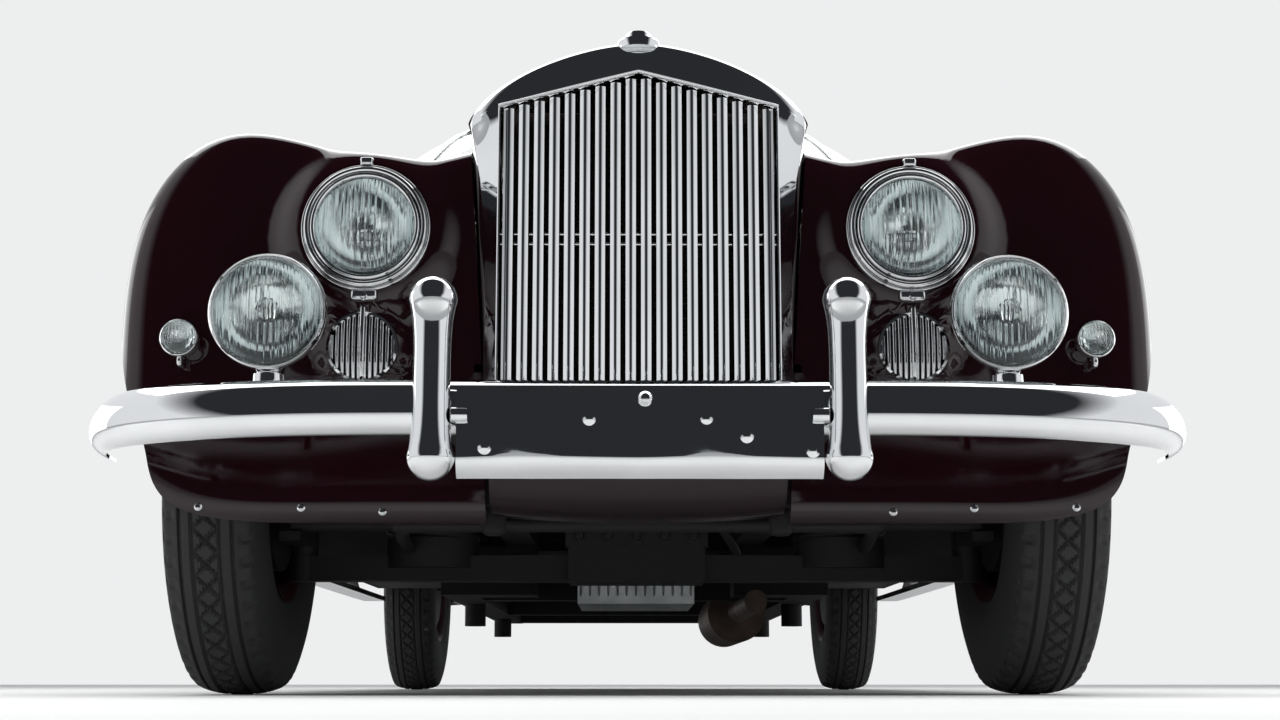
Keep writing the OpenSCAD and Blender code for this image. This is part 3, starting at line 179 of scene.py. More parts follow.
PAINT = Finish("maroon_paint", (0.0085, 0.0016, 0.0029), (0.0120, 0.0021, 0.0038), (0.03, 0.07), 4.0,
               0.00002, 900.0, slot="body_paint")
CHROME = Finish("bright_chrome", (0.74, 0.75, 0.76), (0.82, 0.83, 0.84), (0.015, 0.06), 9.0, 0.00006, 26.0,
                metallic=1.0, slot="bright_trim")
REFLECTOR = Finish("lamp_reflector", (0.80, 0.83, 0.84), (0.88, 0.91, 0.92), (0.06, 0.14), 20.0, 0.0002, 60.0,
                   metallic=1.0, slot="bright_trim")
GLASS = Finish("window_glass", (0.86, 0.93, 0.90), (0.90, 0.95, 0.93), (0.0, 0.012), 3.0, transmission=1.0,
               ior=1.45, slot="clear_glass")
LENS = Finish("lamp_glass", (0.90, 0.95, 0.94), (0.95, 0.98, 0.97), (0.0, 0.02), 15.0, 0.0007, 57.0,
              pattern=Pattern.FLUTES, transmission=1.0, ior=1.45, slot="clear_glass")
RED_LENS = Finish("red_lens", (0.30, 0.004, 0.004), (0.45, 0.008, 0.006), (0.05, 0.12), 30.0, 0.0004, 160.0,
                  transmission=0.6, ior=1.5)
RUBBER = Finish("tyre_rubber", (0.0028, 0.0034, 0.0038), (0.0080, 0.0090, 0.0098), (0.42, 0.66), 14.0,
                0.0006, 420.0, ior=1.34, slot="tyre_rubber")
SEAL = Finish("black_rubber_seal", (0.006, 0.006, 0.006), (0.012, 0.012, 0.012), (0.5, 0.7), 30.0, 0.0002,
              600.0)
BLACK = Finish("chassis_black", (0.0060, 0.0066, 0.0072), (0.021, 0.021, 0.021), (0.30, 0.62), 16.0, 0.0008,
               240.0, slot="chassis_black")
ALLOY = Finish("cast_alloy", (0.34, 0.36, 0.37), (0.50, 0.52, 0.52), (0.28, 0.46), 22.0, 0.0005, 320.0,
               metallic=1.0, slot="bare_alloy")
EXHAUST = Finish("weathered_steel", (0.060, 0.046, 0.040), (0.17, 0.125, 0.105), (0.42, 0.68), 13.0, 0.0006,
                 180.0, metallic=0.8, slot="exhaust_steel")
CORE = Finish("core_brass", (0.004, 0.004, 0.004), (0.016, 0.014, 0.012), (0.4, 0.7), 160.0, 0.0012, 380.0,
              stretch=(1.0, 1.0, 0.2), pattern=Pattern.CELLS, metallic=0.6, slot="core_brass")
LEATHER = Finish("tan_hide", (0.20, 0.098, 0.050), (0.30, 0.155, 0.082), (0.36, 0.56), 9.0, 0.0010, 420.0,
                 sheen=0.1, slot="seat_leather")
HIDE_GRAIN = replace(LEATHER, name="grained_hide", pattern=Pattern.CELLS)
WOOD = Finish("walnut", (0.055, 0.021, 0.009), (0.23, 0.095, 0.038), (0.18, 0.3), 7.0, 0.0001, 300.0,
              stretch=(0.6, 4.0, 7.0), pattern=Pattern.BANDS, coat=1.0, slot="dash_wood")
PLASTIC = Finish("black_rim", (0.008, 0.008, 0.008), (0.016, 0.016, 0.016), (0.12, 0.24), 30.0, 0.0001, 300.0,
                 coat=0.4, slot="rim_plastic")
LINING = Finish("cloth_lining", (0.30, 0.25, 0.19), (0.40, 0.34, 0.27), (0.75, 0.95), 8.0, 0.0006, 700.0,
                sheen=0.2)
CARPET = Finish("wool_carpet", (0.045, 0.012, 0.012), (0.085, 0.026, 0.024), (0.85, 1.0), 60.0, 0.003, 900.0,
                sheen=0.3)
WHEEL_PAINT = replace(PAINT, name="wheel_paint", slot="wheel_paint")
FLOOR = Finish("pale_floor", (0.80, 0.80, 0.79), (0.85, 0.85, 0.84), (0.55, 0.70), 1.5, 0.0002, 60.0, ior=1.1)
DIAL = Finish("dial_face", (0.010, 0.010, 0.010), (0.018, 0.018, 0.018), (0.25, 0.35), 40.0, 0.0001, 300.0)


def unit(v: Array) -> Array:
    """Vectors of length one along the last axis, with a vector of no length left at none."""
    return v / np.maximum(np.linalg.norm(v, axis=-1, keepdims=True), 1e-12)


def lattice(rows: int, cols: int, wrap_rows: bool = False, wrap_cols: bool = False) -> Array:
    """Quads of a grid of points, whose normals are the rows' direction crossed with the columns'.

    Args:
        rows: Number of rows.
        cols: Number of columns.
        wrap_rows: Whether the last row joins the first.
        wrap_cols: Whether the last column joins the first.

    Returns:
        Indices of the quads' corners, one row each.
    """
    i, j = np.meshgrid(np.arange(rows - (not wrap_rows)), np.arange(cols - (not wrap_cols)), indexing="ij")
    below, right = (i + 1) % rows, (j + 1) % cols
    corners = np.stack([i * cols + j, below * cols + j, below * cols + right, i * cols + right], -1)
    return corners.reshape(-1, 4)


@dataclass
class Shape:
    """Points with quads and triangles between them."""

    points: Array
    quads: Array = field(default_factory=lambda: np.zeros((0, 4), int))
    tris: Array = field(default_factory=lambda: np.zeros((0, 3), int))

    def __add__(self, other: "Shape") -> "Shape":
        """Both shapes as one."""
        n = len(self.points)
        return Shape(np.concatenate([self.points, other.points]),
                     np.concatenate([self.quads, other.quads + n]),
                     np.concatenate([self.tris, other.tris + n]))

    def flipped(self) -> "Shape":
        """The shape with its faces turned round."""
        return Shape(self.points, self.quads[:, ::-1], self.tris[:, ::-1])

    def mirrored(self) -> "Shape":
        """The shape on the other side of the car."""
        return Shape(self.points * (-1.0, 1.0, 1.0), self.quads, self.tris).flipped()

    def both(self) -> "Shape":
        """The shape on both sides of the car."""
        return self + self.mirrored()

    def on(self, side: Side) -> "Shape":
        """The shape on one side of the car."""
        return self if side is Side.LEFT else self.mirrored()

    def outward(self) -> "Shape":
        """The closed shape with its faces outwards: the sum of the faces' signed volumes is made positive.

        Returns:
            The shape, turned round where needed.
        """
        p = self.points - self.points.mean(0)
        q, t = self.quads, self.tris
        volume = np.einsum("ij,ij->", p[t[:, 0]], np.cross(p[t[:, 1]], p[t[:, 2]]))
        volume += np.einsum("ij,ij->", p[q[:, 0]], np.cross(p[q[:, 1]], p[q[:, 2]]))
        volume += np.einsum("ij,ij->", p[q[:, 0]], np.cross(p[q[:, 2]], p[q[:, 3]]))
        return self if volume >= 0.0 else self.flipped()


def joined(shapes: Sequence[Shape]) -> Shape:
    """Several shapes as one."""
    whole = shapes[0]
    for other in shapes[1:]:
        whole = whole + other
    return whole


def add_piece(name: str, shape: Shape, finish: Finish, body: str, stands_for: Sequence[str] = (),
              angle: float = SMOOTH_ANGLE) -> bpy.types.Object:
    """Puts a shape into a mesh at the origin, dresses it and lets it ride on a body.

    Args:
        name: Name of the piece.
        shape: Points and faces, in place.
        finish: Finish of its surface.
        body: Body that carries it.
        stands_for: Nodes that aren't shown because of it.
        angle: Edges that turn by more than this stay sharp.

    Returns:
        The piece's object.
    """
    mesh = bpy.data.meshes.new(name)
    mesh.from_pydata(shape.points.tolist(), [], shape.quads.tolist() + shape.tris.tolist())
    work = bmesh.new()
    work.from_mesh(mesh)
    bmesh.ops.remove_doubles(work, verts=work.verts, dist=MERGE)
    bmesh.ops.dissolve_degenerate(work, edges=work.edges, dist=MERGE)
    work.to_mesh(mesh)
    work.free()
    mesh.validate()
    mesh.shade_smooth()
    mesh.set_sharp_from_angle(angle=angle)
    mesh.materials.append(finish.material())
    piece = bpy.data.objects.new(name, mesh)
    bpy.context.scene.collection.objects.link(piece)
    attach(piece, body)
    if stands_for:
        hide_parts(*stands_for)
    log.info("%s on %s: %d points", name, body, len(mesh.vertices))
    return piece


def dress(node: str, finish: Finish) -> None:
    """Gives a carried-over node the material of a finish.

    Args:
        node: Name of the node.
        finish: Finish to give it.
    """
    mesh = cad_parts[node].data
    mesh.materials.clear()
    mesh.materials.append(finish.material())
    log.info("%s dressed in %s", node, finish.name)


def revolve(profile: Sequence[Sequence[float]], at: Sequence[float], steps: int = 64, axis: str = "forward",
            loop: bool = False) -> Shape:
    """Surface of revolution: each profile point (radius r, distance a) goes round the axis on a circle.

    Args:
        profile: Radius and distance along the axis, in order.
        at: Point on the axis where the distance is zero.
        steps: Points round the circle.
        axis: "forward" for -Y, "left" for +X, "up" for +Z.
        loop: Whether the last profile point joins the first.

    Returns:
        The surface, with its faces outwards.
    """
    r, a = np.asarray(profile, float).T
    turn = np.arange(steps)[:, None] * TURN / steps
    across, up, far = r * np.cos(turn), r * np.sin(turn), np.broadcast_to(a, (steps, len(a)))
    order = {"forward": (across, -far, up), "left": (far, across, up), "up": (across, up, far)}[axis]
    points = np.stack(order, -1).reshape(-1, 3) + np.asarray(at, float)
    return Shape(points, lattice(steps, len(r), wrap_rows=True, wrap_cols=loop)).outward()


def sweep(path: Array, section: Array, up: Sequence[float] = (0.0, 0.0, 1.0), closed: bool = False,
          size: Array | None = None) -> Shape:
    """Carries a closed section along a path: point = path + across * section x + over * section y.

    Args:
        path: Points of the path.
        section: Points of the section, in the plane across the path.
        up: Direction that the section's y keeps to.
        closed: Whether the path's end joins its start.
        size: Scale of the section at each point of the path, or none.

    Returns:
        The swept solid, with flat ends where the path is open.
    """
    path, section = np.asarray(path, float), np.asarray(section, float)
    n, m = len(path), len(section)
    ahead = np.roll(path, -1, 0) - np.roll(path, 1, 0) if closed else np.gradient(path, axis=0)
    ahead = unit(ahead)
    across = unit(np.cross(ahead, np.asarray(up, float)))
    over = np.cross(across, ahead)
    scale = np.ones(n) if size is None else np.asarray(size, float)
    points = (path[:, None] + across[:, None] * section[None, :, :1] * scale[:, None, None]
              + over[:, None] * section[None, :, 1:] * scale[:, None, None]).reshape(-1, 3)
    shape = Shape(points, lattice(n, m, wrap_rows=closed, wrap_cols=True))
    if not closed:
        ring = np.arange(m)
        nxt = (ring + 1) % m
        points = np.concatenate([points, path[:1], path[-1:]])
        first = np.stack([np.full(m, n * m), ring, nxt], -1)
        last = np.stack([np.full(m, n * m + 1), (n - 1) * m + nxt, (n - 1) * m + ring], -1)
        shape = Shape(points, shape.quads, np.concatenate([first, last]))
    return shape.outward()


def circle(radius: float, steps: int = 12) -> Array:
    """Points of a circle in the plane."""
    a = np.arange(steps) * TURN / steps
    return np.stack([np.cos(a), np.sin(a)], -1) * radius


def oval(width: float, depth: float, power: float = 2.0, steps: int = 24) -> Array:
    """Points of a superellipse: x and y go with the cosine and sine, each to the power 2 / power.

    Args:
        width: Size along x.
        depth: Size along y.
        power: Exponent, 2 for an ellipse.
        steps: Points round it.

    Returns:
        The section's points.
    """
    a = np.arange(steps) * TURN / steps
    c, s = np.cos(a), np.sin(a)
    return np.stack([width / 2 * np.sign(c) * np.abs(c) ** (2 / power),
                     depth / 2 * np.sign(s) * np.abs(s) ** (2 / power)], -1)


def tube(path: Sequence[Sequence[float]], radius: float, sides: int = 14, fine: int = 0) -> Shape:
    """Round tube along a path, whose corners are rounded by a spline where fine is its number of points.

    Args:
        path: Points of the tube's line.
        radius: Radius of the tube.
        sides: Points round it.
        fine: Points along the spline, or 0 to keep the corners.

    Returns:
        The closed tube.
    """
    line = np.asarray(path, float)
    if fine:
        line = held_spline(line, np.linspace(0.0, 1.0, fine))
    lean = unit(line[-1] - line[0])
    up = (0.0, 0.0, 1.0) if abs(lean[2]) < 0.9 else (0.0, 1.0, 0.0)
    return sweep(line, circle(radius, sides), up)


def pillow(low: Sequence[float], high: Sequence[float], power: float = 6.0, steps: int = 28) -> Shape:
    """Box with rounded edges: a superellipsoid whose cosines and sines go to the power 2 / power.

    Args:
        low: Lowest corner of the box.
        high: Highest corner.
        power: Exponent, with sharper edges as it grows.
        steps: Steps from pole to pole.

    Returns:
        The closed shape.
    """
    low, high = np.asarray(low, float), np.asarray(high, float)
    u = np.linspace(-np.pi / 2, np.pi / 2, steps + 1)[:, None]
    v = np.arange(2 * steps)[None] * np.pi / steps
    e = 2.0 / power
    cu, su = np.abs(np.cos(u)) ** e, np.sign(np.sin(u)) * np.abs(np.sin(u)) ** e
    cv, sv = np.sign(np.cos(v)) * np.abs(np.cos(v)) ** e, np.sign(np.sin(v)) * np.abs(np.sin(v)) ** e
    ball = np.stack([cu * cv, cu * sv, su * np.ones_like(cv)], -1).reshape(-1, 3)
    points = (low + high) / 2 + ball * (high - low) / 2
    return Shape(points, lattice(steps + 1, 2 * steps, wrap_cols=True)).outward()


def held_spline(points: Array, t: Array) -> Array:
    """Uniform cubic B-spline that starts and ends at its end points, each counted three times.

    Args:
        points: Control points along the first axis.
        t: Places from 0 to 1.

    Returns:
        The points of the curve at those places.
    """
    points, t = np.asarray(points, float), np.asarray(t, float)
    spans = len(points) + 1
    a = np.clip(t, 0.0, 1.0) * spans
    i = np.minimum(a.astype(int), spans - 1)
    f = (a - i).reshape((-1,) + (1,) * (points.ndim - 1))
    g = 1.0 - f
    held = [points[np.clip(i + k - 2, 0, len(points) - 1)] for k in range(4)]
    before, after = 3 * f ** 3 - 6 * f ** 2 + 4, 3 * g ** 3 - 6 * g ** 2 + 4
    return (held[0] * g ** 3 + held[1] * before + held[2] * after + held[3] * f ** 3) / 6.0


def rounded(points: Array, r: float, steps: int = 8) -> Array:
    """Outline with its corners rounded by arcs of one radius.

    Args:
        points: Corners of the outline, in order.
        r: Radius of the arcs.
        steps: Steps along each arc.

    Returns:
        The rounded outline's points.
    """
    p = np.asarray(points, float)
    a, b = unit(np.roll(p, 1, 0) - p), unit(np.roll(p, -1, 0) - p)
    half = np.arccos(np.clip((a * b).sum(1), -1.0, 1.0)) / 2
    mid = unit(a + b)
    turn = np.sign(b[:, 0] * a[:, 1] - b[:, 1] * a[:, 0])
    centre = p + mid * (r / np.sin(half))[:, None]
    start = np.arctan2(-mid[:, 1], -mid[:, 0])
    q = start[:, None] + (turn * (np.pi / 2 - half))[:, None] * np.linspace(-1.0, 1.0, steps + 1)
    return (centre[:, None] + r * np.stack([np.cos(q), np.sin(q)], -1)).reshape(-1, 2)


def depth_in(points: Array, outline: Array) -> Array:
    """Signed distance of points to a closed outline in the plane, less than zero inside.

    The distance is the least to any line. A point is inside where a ray crosses an odd number of lines.

    Args:
        points: Places in the plane.
        outline: Points of the closed outline.

    Returns:
        One distance for each place.
    """
    a, b = outline, np.roll(outline, -1, 0)
    line = b - a
    out = np.empty(len(points))
    for part in np.array_split(np.arange(len(points)), max(1, len(points) // 20000)):
        to = points[part, None] - a
        t = np.clip((to * line).sum(2) / np.maximum((line ** 2).sum(1), 1e-18), 0.0, 1.0)
        far = np.linalg.norm(to - t[..., None] * line, axis=2).min(1)
        y = points[part, None, 1]
        spans = (a[:, 1] > y) != (b[:, 1] > y)
        x = a[:, 0] + (y - a[:, 1]) / np.where(line[:, 1] == 0.0, 1e-18, line[:, 1]) * line[:, 0]
        inside = (spans & (points[part, None, 0] < x)).sum(1) % 2 == 1
        out[part] = np.where(inside, -far, far)
    return out


@dataclass
class Skin:
    """Triangles of a surface with its outward normals, which can be trimmed and given a thickness."""

    points: Array
    normals: Array
    tris: Array

    @classmethod
    def of(cls, grid: Array) -> "Skin":
        """Skin of a grid of points: the normals are the rows' direction crossed with the columns'.

        Args:
            grid: Rows and columns of points.

        Returns:
            The skin with its normals.
        """
        rows, cols = grid.shape[:2]
        normals = unit(np.cross(np.gradient(grid, axis=0), np.gradient(grid, axis=1)))
        quads = lattice(rows, cols)
        tris = np.concatenate([quads[:, [0, 1, 2]], quads[:, [0, 2, 3]]])
        return cls(grid.reshape(-1, 3), normals.reshape(-1, 3), tris)

    def trimmed(self, *fields: Field) -> "Skin":
        """Keeps the part where every field is zero or less, with the edge cut where a field crosses zero.

        Args:
            fields: Functions of the points.

        Returns:
            The trimmed skin.
        """
        skin = self
        for keep in fields:
            skin = skin._cut(keep(skin.points))
        used = np.unique(skin.tris)
        renumber = np.zeros(len(skin.points), int)
        renumber[used] = np.arange(len(used))
        return Skin(skin.points[used], unit(skin.normals[used]), renumber[skin.tris])

    def _cut(self, value: Array) -> "Skin":
        """Cuts along the zero line of a value: a crossed edge gets a point at its linear zero.

        Args:
            value: The field's value at each point, above zero in what is cut away.

        Returns:
            The skin that is left.
        """
        inside = value <= 0.0
        count = inside[self.tris].sum(1)
        lone_in, lone_out = self.tris[count == 1], self.tris[count == 2]

        def lead(tris: Array, flag: Array) -> Array:
            """Turns each triangle so that its flagged corner comes first."""
            first = np.argmax(flag[tris], 1)
            return np.take_along_axis(tris, (first[:, None] + np.arange(3)) % 3, 1)

        lone_in, lone_out = lead(lone_in, inside), lead(lone_out, ~inside)
        pairs = np.concatenate([lone_in[:, [0, 1]], lone_in[:, [0, 2]], lone_out[:, [0, 1]],
                                lone_out[:, [0, 2]]])
        edges, place = np.unique(np.sort(pairs, 1), axis=0, return_inverse=True)
        share = (value[edges[:, 0]] / (value[edges[:, 0]] - value[edges[:, 1]]))[:, None]
        points = self.points[edges[:, 0]] * (1 - share) + self.points[edges[:, 1]] * share
        normals = self.normals[edges[:, 0]] * (1 - share) + self.normals[edges[:, 1]] * share
        new = place.reshape(-1) + len(self.points)
        n, m = len(lone_in), len(lone_out)
        ab, ac, db, dc = new[:n], new[n:2 * n], new[2 * n:2 * n + m], new[2 * n + m:]
        tris = np.concatenate([
            self.tris[count == 3], np.stack([lone_in[:, 0], ab, ac], -1),
            np.stack([db, lone_out[:, 1], lone_out[:, 2]], -1), np.stack([db, lone_out[:, 2], dc], -1)])
        return Skin(np.concatenate([self.points, points]), np.concatenate([self.normals, normals]), tris)

    def thick(self, wall: float, inset: float = 0.0) -> Shape:
        """Closed sheet from inset to inset plus wall below the surface, with a rim along each open edge.

        Args:
            wall: Thickness of the sheet.
            inset: Depth of its outer face below the surface.

        Returns:
            The closed sheet.
        """
        n = len(self.points)
        points = np.concatenate([self.points - inset * self.normals,
                                 self.points - (inset + wall) * self.normals])
        edges = np.concatenate([self.tris[:, [0, 1]], self.tris[:, [1, 2]], self.tris[:, [2, 0]]])
        key = np.sort(edges, 1)
        _, place, count = np.unique(key, axis=0, return_inverse=True, return_counts=True)
        rim = edges[count[place.reshape(-1)] == 1]
        quads = np.stack([rim[:, 1], rim[:, 0], rim[:, 0] + n, rim[:, 1] + n], -1)
        return Shape(points, quads, np.concatenate([self.tris, self.tris[:, ::-1] + n]))


@dataclass
class BodyLines:
    """Surfaces of the body, from the same tables of shares as the solids."""

    width: float = 1.816
    height: float = 1.600
    length: float = 5.245
    wheelbase: float = 3.048
    front_overhang: float = 0.860
    nose_sweep: float = 0.052
    nose_part: float = 0.2
    sill_turn: float = 0.95
    shoulder_part: float = 0.62
    fine: int = 3000
    # [along, tuck x, sill z, side x, side z, crest x, crest z, dip x, dip z, seam x, seam z]
    side_shares: tuple = (
        (-0.060, 0.260, 0.147, 0.993, 0.317, 0.798, 0.629, 0.485, 0.545, 0.300, 0.570),
        (0.098, 0.837, 0.169, 1.000, 0.360, 0.810, 0.631, 0.550, 0.553, 0.365, 0.578),
        (0.197, 0.848, 0.172, 0.998, 0.390, 0.850, 0.627, 0.661, 0.584, 0.540, 0.605),
        (0.295, 0.854, 0.172, 0.997, 0.388, 0.898, 0.600, 0.787, 0.625, 0.716, 0.644),
        (0.410, 0.854, 0.172, 0.997, 0.381, 0.916, 0.566, 0.854, 0.631, 0.802, 0.664),
        (0.558, 0.854, 0.172, 0.997, 0.378, 0.931, 0.545, 0.864, 0.625, 0.817, 0.666),
        (0.705, 0.854, 0.172, 0.998, 0.378, 0.936, 0.550, 0.861, 0.625, 0.809, 0.662),
        (0.853, 0.854, 0.172, 1.000, 0.378, 0.927, 0.578, 0.826, 0.616, 0.784, 0.647),
        (1.000, 0.848, 0.175, 0.997, 0.375, 0.898, 0.591, 0.760, 0.594, 0.721, 0.616),
        (1.338, 0.800, 0.184, 0.969, 0.369, 0.842, 0.572, 0.672, 0.544, 0.628, 0.559),
        (1.637, 0.700, 0.197, 0.898, 0.359, 0.749, 0.525, 0.562, 0.481, 0.518, 0.494),
        (1.847, 0.560, 0.216, 0.760, 0.350, 0.617, 0.466, 0.452, 0.425, 0.419, 0.434),
        (1.915, 0.400, 0.241, 0.573, 0.344, 0.463, 0.413, 0.330, 0.384, 0.308, 0.388),
        (1.915, 0.000, 0.244, 0.000, 0.344, 0.000, 0.407, 0.000, 0.381, 0.000, 0.384))
    # [share of the section's size, along]
    nose_shares: tuple = ((0.02, -0.556), (0.59, -0.542), (0.847, -0.554), (0.914, -0.516), (0.967, -0.174))
    nose_pole_shares: tuple[float, float] = (0.27, 0.316)
    # [along, height on the middle line, squareness]
    top_shares: tuple = ((-0.605, 0.645, 1.60), (-0.300, 0.655, 1.70), (0.050, 0.666, 1.85),
                         (0.150, 0.675, 1.95), (0.250, 0.686, 2.05), (0.288, 0.692, 2.10),
                         (0.300, 0.697, 2.10), (0.315, 0.716, 2.15), (0.410, 0.888, 2.25),
                         (0.490, 0.978, 2.35), (0.623, 1.010, 2.40), (0.755, 0.994, 2.40),
                         (0.886, 0.931, 2.35), (1.040, 0.838, 2.30), (1.338, 0.722, 2.20),
                         (1.637, 0.597, 2.15), (1.847, 0.494, 2.10), (1.915, 0.425, 2.05),
                         (1.915, 0.400, 2.00))

    def __post_init__(self) -> None:
        """Works out the rows of control points and the tables that turn a place y into a parameter."""
        self.front_axle = self.front_overhang - self.length / 2
        self.rear_axle = self.front_axle + self.wheelbase
        side = np.array([self._side_row(r) for r in self.side_shares])
        pole = np.array([self.out(self.nose_pole_shares[0]), self.high(self.nose_pole_shares[1])])
        nose = []
        for size, place in self.nose_shares:
            row = side[0].copy()
            row[:, 0] = pole[0] + (row[:, 0] - pole[0]) * size
            row[:, 2] = pole[1] + (row[:, 2] - pole[1]) * size
            row[:, 1] = self.along(place) + self.nose_sweep * (row[:, 0] / self.out(1.0)) ** 2
            nose.append(row)
        self.side_rows = np.concatenate([np.array(nose), side])
        self.top_rows = np.array([(self.along(a), self.high(h), n) for a, h, n in self.top_shares])
        self._t = np.linspace(0.0, 1.0, self.fine)
        self._behind = int(self.fine * self.nose_part)
        self._side_y = np.maximum.accumulate(held_spline(self.side_rows, self._t)[:, 4, 1])
        self._top_y = np.maximum.accumulate(held_spline(self.top_rows, self._t)[:, 0])

    def along(self, share: float) -> float:
        """Place along the car: -1 the front end, 0 the front axle, 1 the rear axle, 2 the rear end.

        Args:
            share: Place on that scale.

        Returns:
            The place's y.
        """
        rear = self.length - self.wheelbase - self.front_overhang
        far = (share * self.front_overhang if share < 0 else share * self.wheelbase if share <= 1
               else self.wheelbase + (share - 1) * rear)
        return self.front_axle + far

    def high(self, share: float) -> float:
        """Height above the ground, from a share of the car's."""
        return share * self.height

    def out(self, share: float) -> float:
        """Distance from the middle, from a share of the half width."""
        return share * self.width / 2

    def _side_row(self, r: Sequence[float]) -> list[list[float]]:
        """Nine control points of one section, from the inner lower edge round to the seam.

        Args:
            r: One row of side_shares.

        Returns:
            The points, in order.
        """
        y, tuck, sill = self.along(r[0]), self.out(r[1]), self.high(r[2])
        x, z = self.out(r[3]), self.high(r[4])
        crest = self.high(r[6])
        return [[tuck, y, sill], [(tuck + x) / 2, y, sill], [x * self.sill_turn, y, sill],
                [x, y, (sill + z) / 2], [x, y, z], [x, y, z + (crest - z) * self.shoulder_part],
                [self.out(r[5]), y, crest], [self.out(r[7]), y, self.high(r[8])],
                [self.out(r[9]), y, self.high(r[10])]]

    def side_at(self, y: float) -> float:
        """Parameter of the side's section at a place y, behind the nose."""
        return float(self._side_t(y))

    def _side_t(self, y: Array) -> Array:
        """Parameters of the side's sections at places y, read from the table behind the nose."""
        return np.interp(y, self._side_y[self._behind:], self._t[self._behind:])

    def side_grid(self, v: Array, u: Array) -> Array:
        """Points of the body side: the B-spline through the rows at v, then along each row at u."""
        rows = held_spline(self.side_rows, v)
        return held_spline(rows.transpose(1, 0, 2), u).transpose(1, 0, 2)

    def side_between(self, y0: float, y1: float, rows: int, columns: int) -> Array:
        """Grid of the body side between two places along the car."""
        v = np.linspace(self.side_at(y0), self.side_at(y1), rows + 1)
        return self.side_grid(v, np.linspace(0.0, 1.0, columns + 1))

    def seam(self, y: Array) -> Array:
        """Point of the seam between wing and top at each place y, held ahead of the front axle."""
        y = np.maximum(y, self.along(self.side_shares[0][0]))
        return held_spline(self.side_rows, self._side_t(y))[:, 8]

    def top_rows_at(self, y: Array) -> tuple[Array, Array, Array, Array]:
        """Seam x, seam z, rise to the middle line and exponent of the top's section at each place y."""
        row = held_spline(self.top_rows, np.interp(y, self._top_y, self._t))
        seam = self.seam(y)
        return seam[:, 0], seam[:, 2], np.maximum(0.0, row[:, 1] - seam[:, 2]), 2.0 / row[:, 2]

    def top_points(self, y: Array, w: Array) -> Array:
        """Superelliptic sections: x = seam x cos^e, z = seam z + rise sin^e, from seam to seam, w 0 to 2.

        Args:
            y: Places along the car.
            w: Places across it.

        Returns:
            Grid of points.
        """
        sx, sz, rise, e = (a[:, None] for a in self.top_rows_at(y))
        near = np.where(w <= 1.0, w, 2.0 - w)[None]
        c, s = np.abs(np.cos(near * np.pi / 2)), np.abs(np.sin(near * np.pi / 2))
        x = sx * c ** e * np.where(w <= 1.0, 1.0, -1.0)[None]
        return np.stack([x, np.broadcast_to(y[:, None], x.shape), sz + rise * s ** e], -1)

    def top_between(self, y0: float, y1: float, rows: int, columns: int, w0: float = 0.0,
                    w1: float = 2.0) -> Array:
        """Grid of the top between two places along the car, even in the parameter of its spline.

        Args:
            y0: First place.
            y1: Last place.
            rows: Steps along the car.
            columns: Steps across it.
            w0: First place across, as top_points counts it.
            w1: Last place across.

        Returns:
            Grid of points.
        """
        t = np.interp([y0, y1], self._top_y, self._t)
        y = held_spline(self.top_rows, np.linspace(t[0], t[1], rows + 1))[:, 0]
        y[0], y[-1] = y0, y1
        return self.top_points(y, np.linspace(w0, w1, columns + 1))

    def top_x(self, y: Array, z: Array) -> Array:
        """Distance from the middle of the top's surface at places y and heights z."""
        sx, sz, rise, e = self.top_rows_at(y)
        s = np.clip((z - sz) / np.maximum(rise, 1e-9), 0.0, 1.0) ** (1.0 / e)
        return sx * np.sqrt(np.clip(1.0 - s ** 2, 0.0, 1.0)) ** e

    def top_z(self, x: Array, y: Array) -> Array:
        """Height of the top's surface at places x and y."""
        sx, sz, rise, e = self.top_rows_at(y)
        c = np.clip(np.abs(x) / sx, 0.0, 1.0) ** (1.0 / e)
        return sz + rise * np.sqrt(np.clip(1.0 - c ** 2, 0.0, 1.0)) ** e

    def top_y_at(self, x: Array, z: Array, low: float, high: float) -> Array:
        """Place along the car where the top's surface has a point (x, z), found by halving the span.

        Args:
            x: Distances from the middle.
            z: Heights.
            low: Front end of the span.
            high: Rear end of the span.

        Returns:
            One place for each point.
        """
        a, b = np.full(len(x), low), np.full(len(x), high)
        rising = self.top_z(x, b) > self.top_z(x, a)
        for _ in range(40):
            mid = (a + b) / 2
            under = (self.top_z(x, mid) < z) == rising
            a, b = np.where(under, mid, a), np.where(under, b, mid)
        return (a + b) / 2


LINES = BodyLines()


def smooth_step(low: float, high: float, value: Array) -> Array:
    """Share that rises from 0 at low to 1 at high as 3t^2 - 2t^3."""
    t = np.clip((value - low) / (high - low), 0.0, 1.0)
    return t * t * (3.0 - 2.0 * t)


SHELL_LOW, SHELL_SHOULDER = 0.424, 0.896
SHELL_HALF, SHELL_FLARE = 0.2415, 0.026
SHELL_BACK = -2.2217


def shell_half(z: Array, power: float = 4.0) -> Array:
    """Half width of the radiator shell, which flares by a power of the height up to its shoulder."""
    share = np.clip((z - SHELL_LOW) / (SHELL_SHOULDER - SHELL_LOW), 0.0, 1.0)
    return SHELL_HALF + SHELL_FLARE * share ** power


@dataclass
class LampPlaces:
    """Places of the front lamps and horns on the left side: x, y of the rim's back, z, and radii."""

    head: tuple[float, float, float] = (0.430, -2.257, 0.7275)
    head_lens_r: float = 0.080
    head_rim_r: float = 0.102
    driving: tuple[float, float, float] = (0.560, -2.356, 0.572)
    driving_r: float = 0.090
    side: tuple[float, float, float] = (0.723, -2.2260, 0.556)
    tail: tuple[float, float, float] = (0.6356, 2.430, 0.616)
    tail_r: float = 0.038
    side_r: float = 0.031
    horn: tuple[float, float, float] = (0.434, -2.237, 0.540)
    horn_r: float = 0.057
    pod_reach: float = 0.066
    front_y: float = -1.95


LAMPS = LampPlaces()


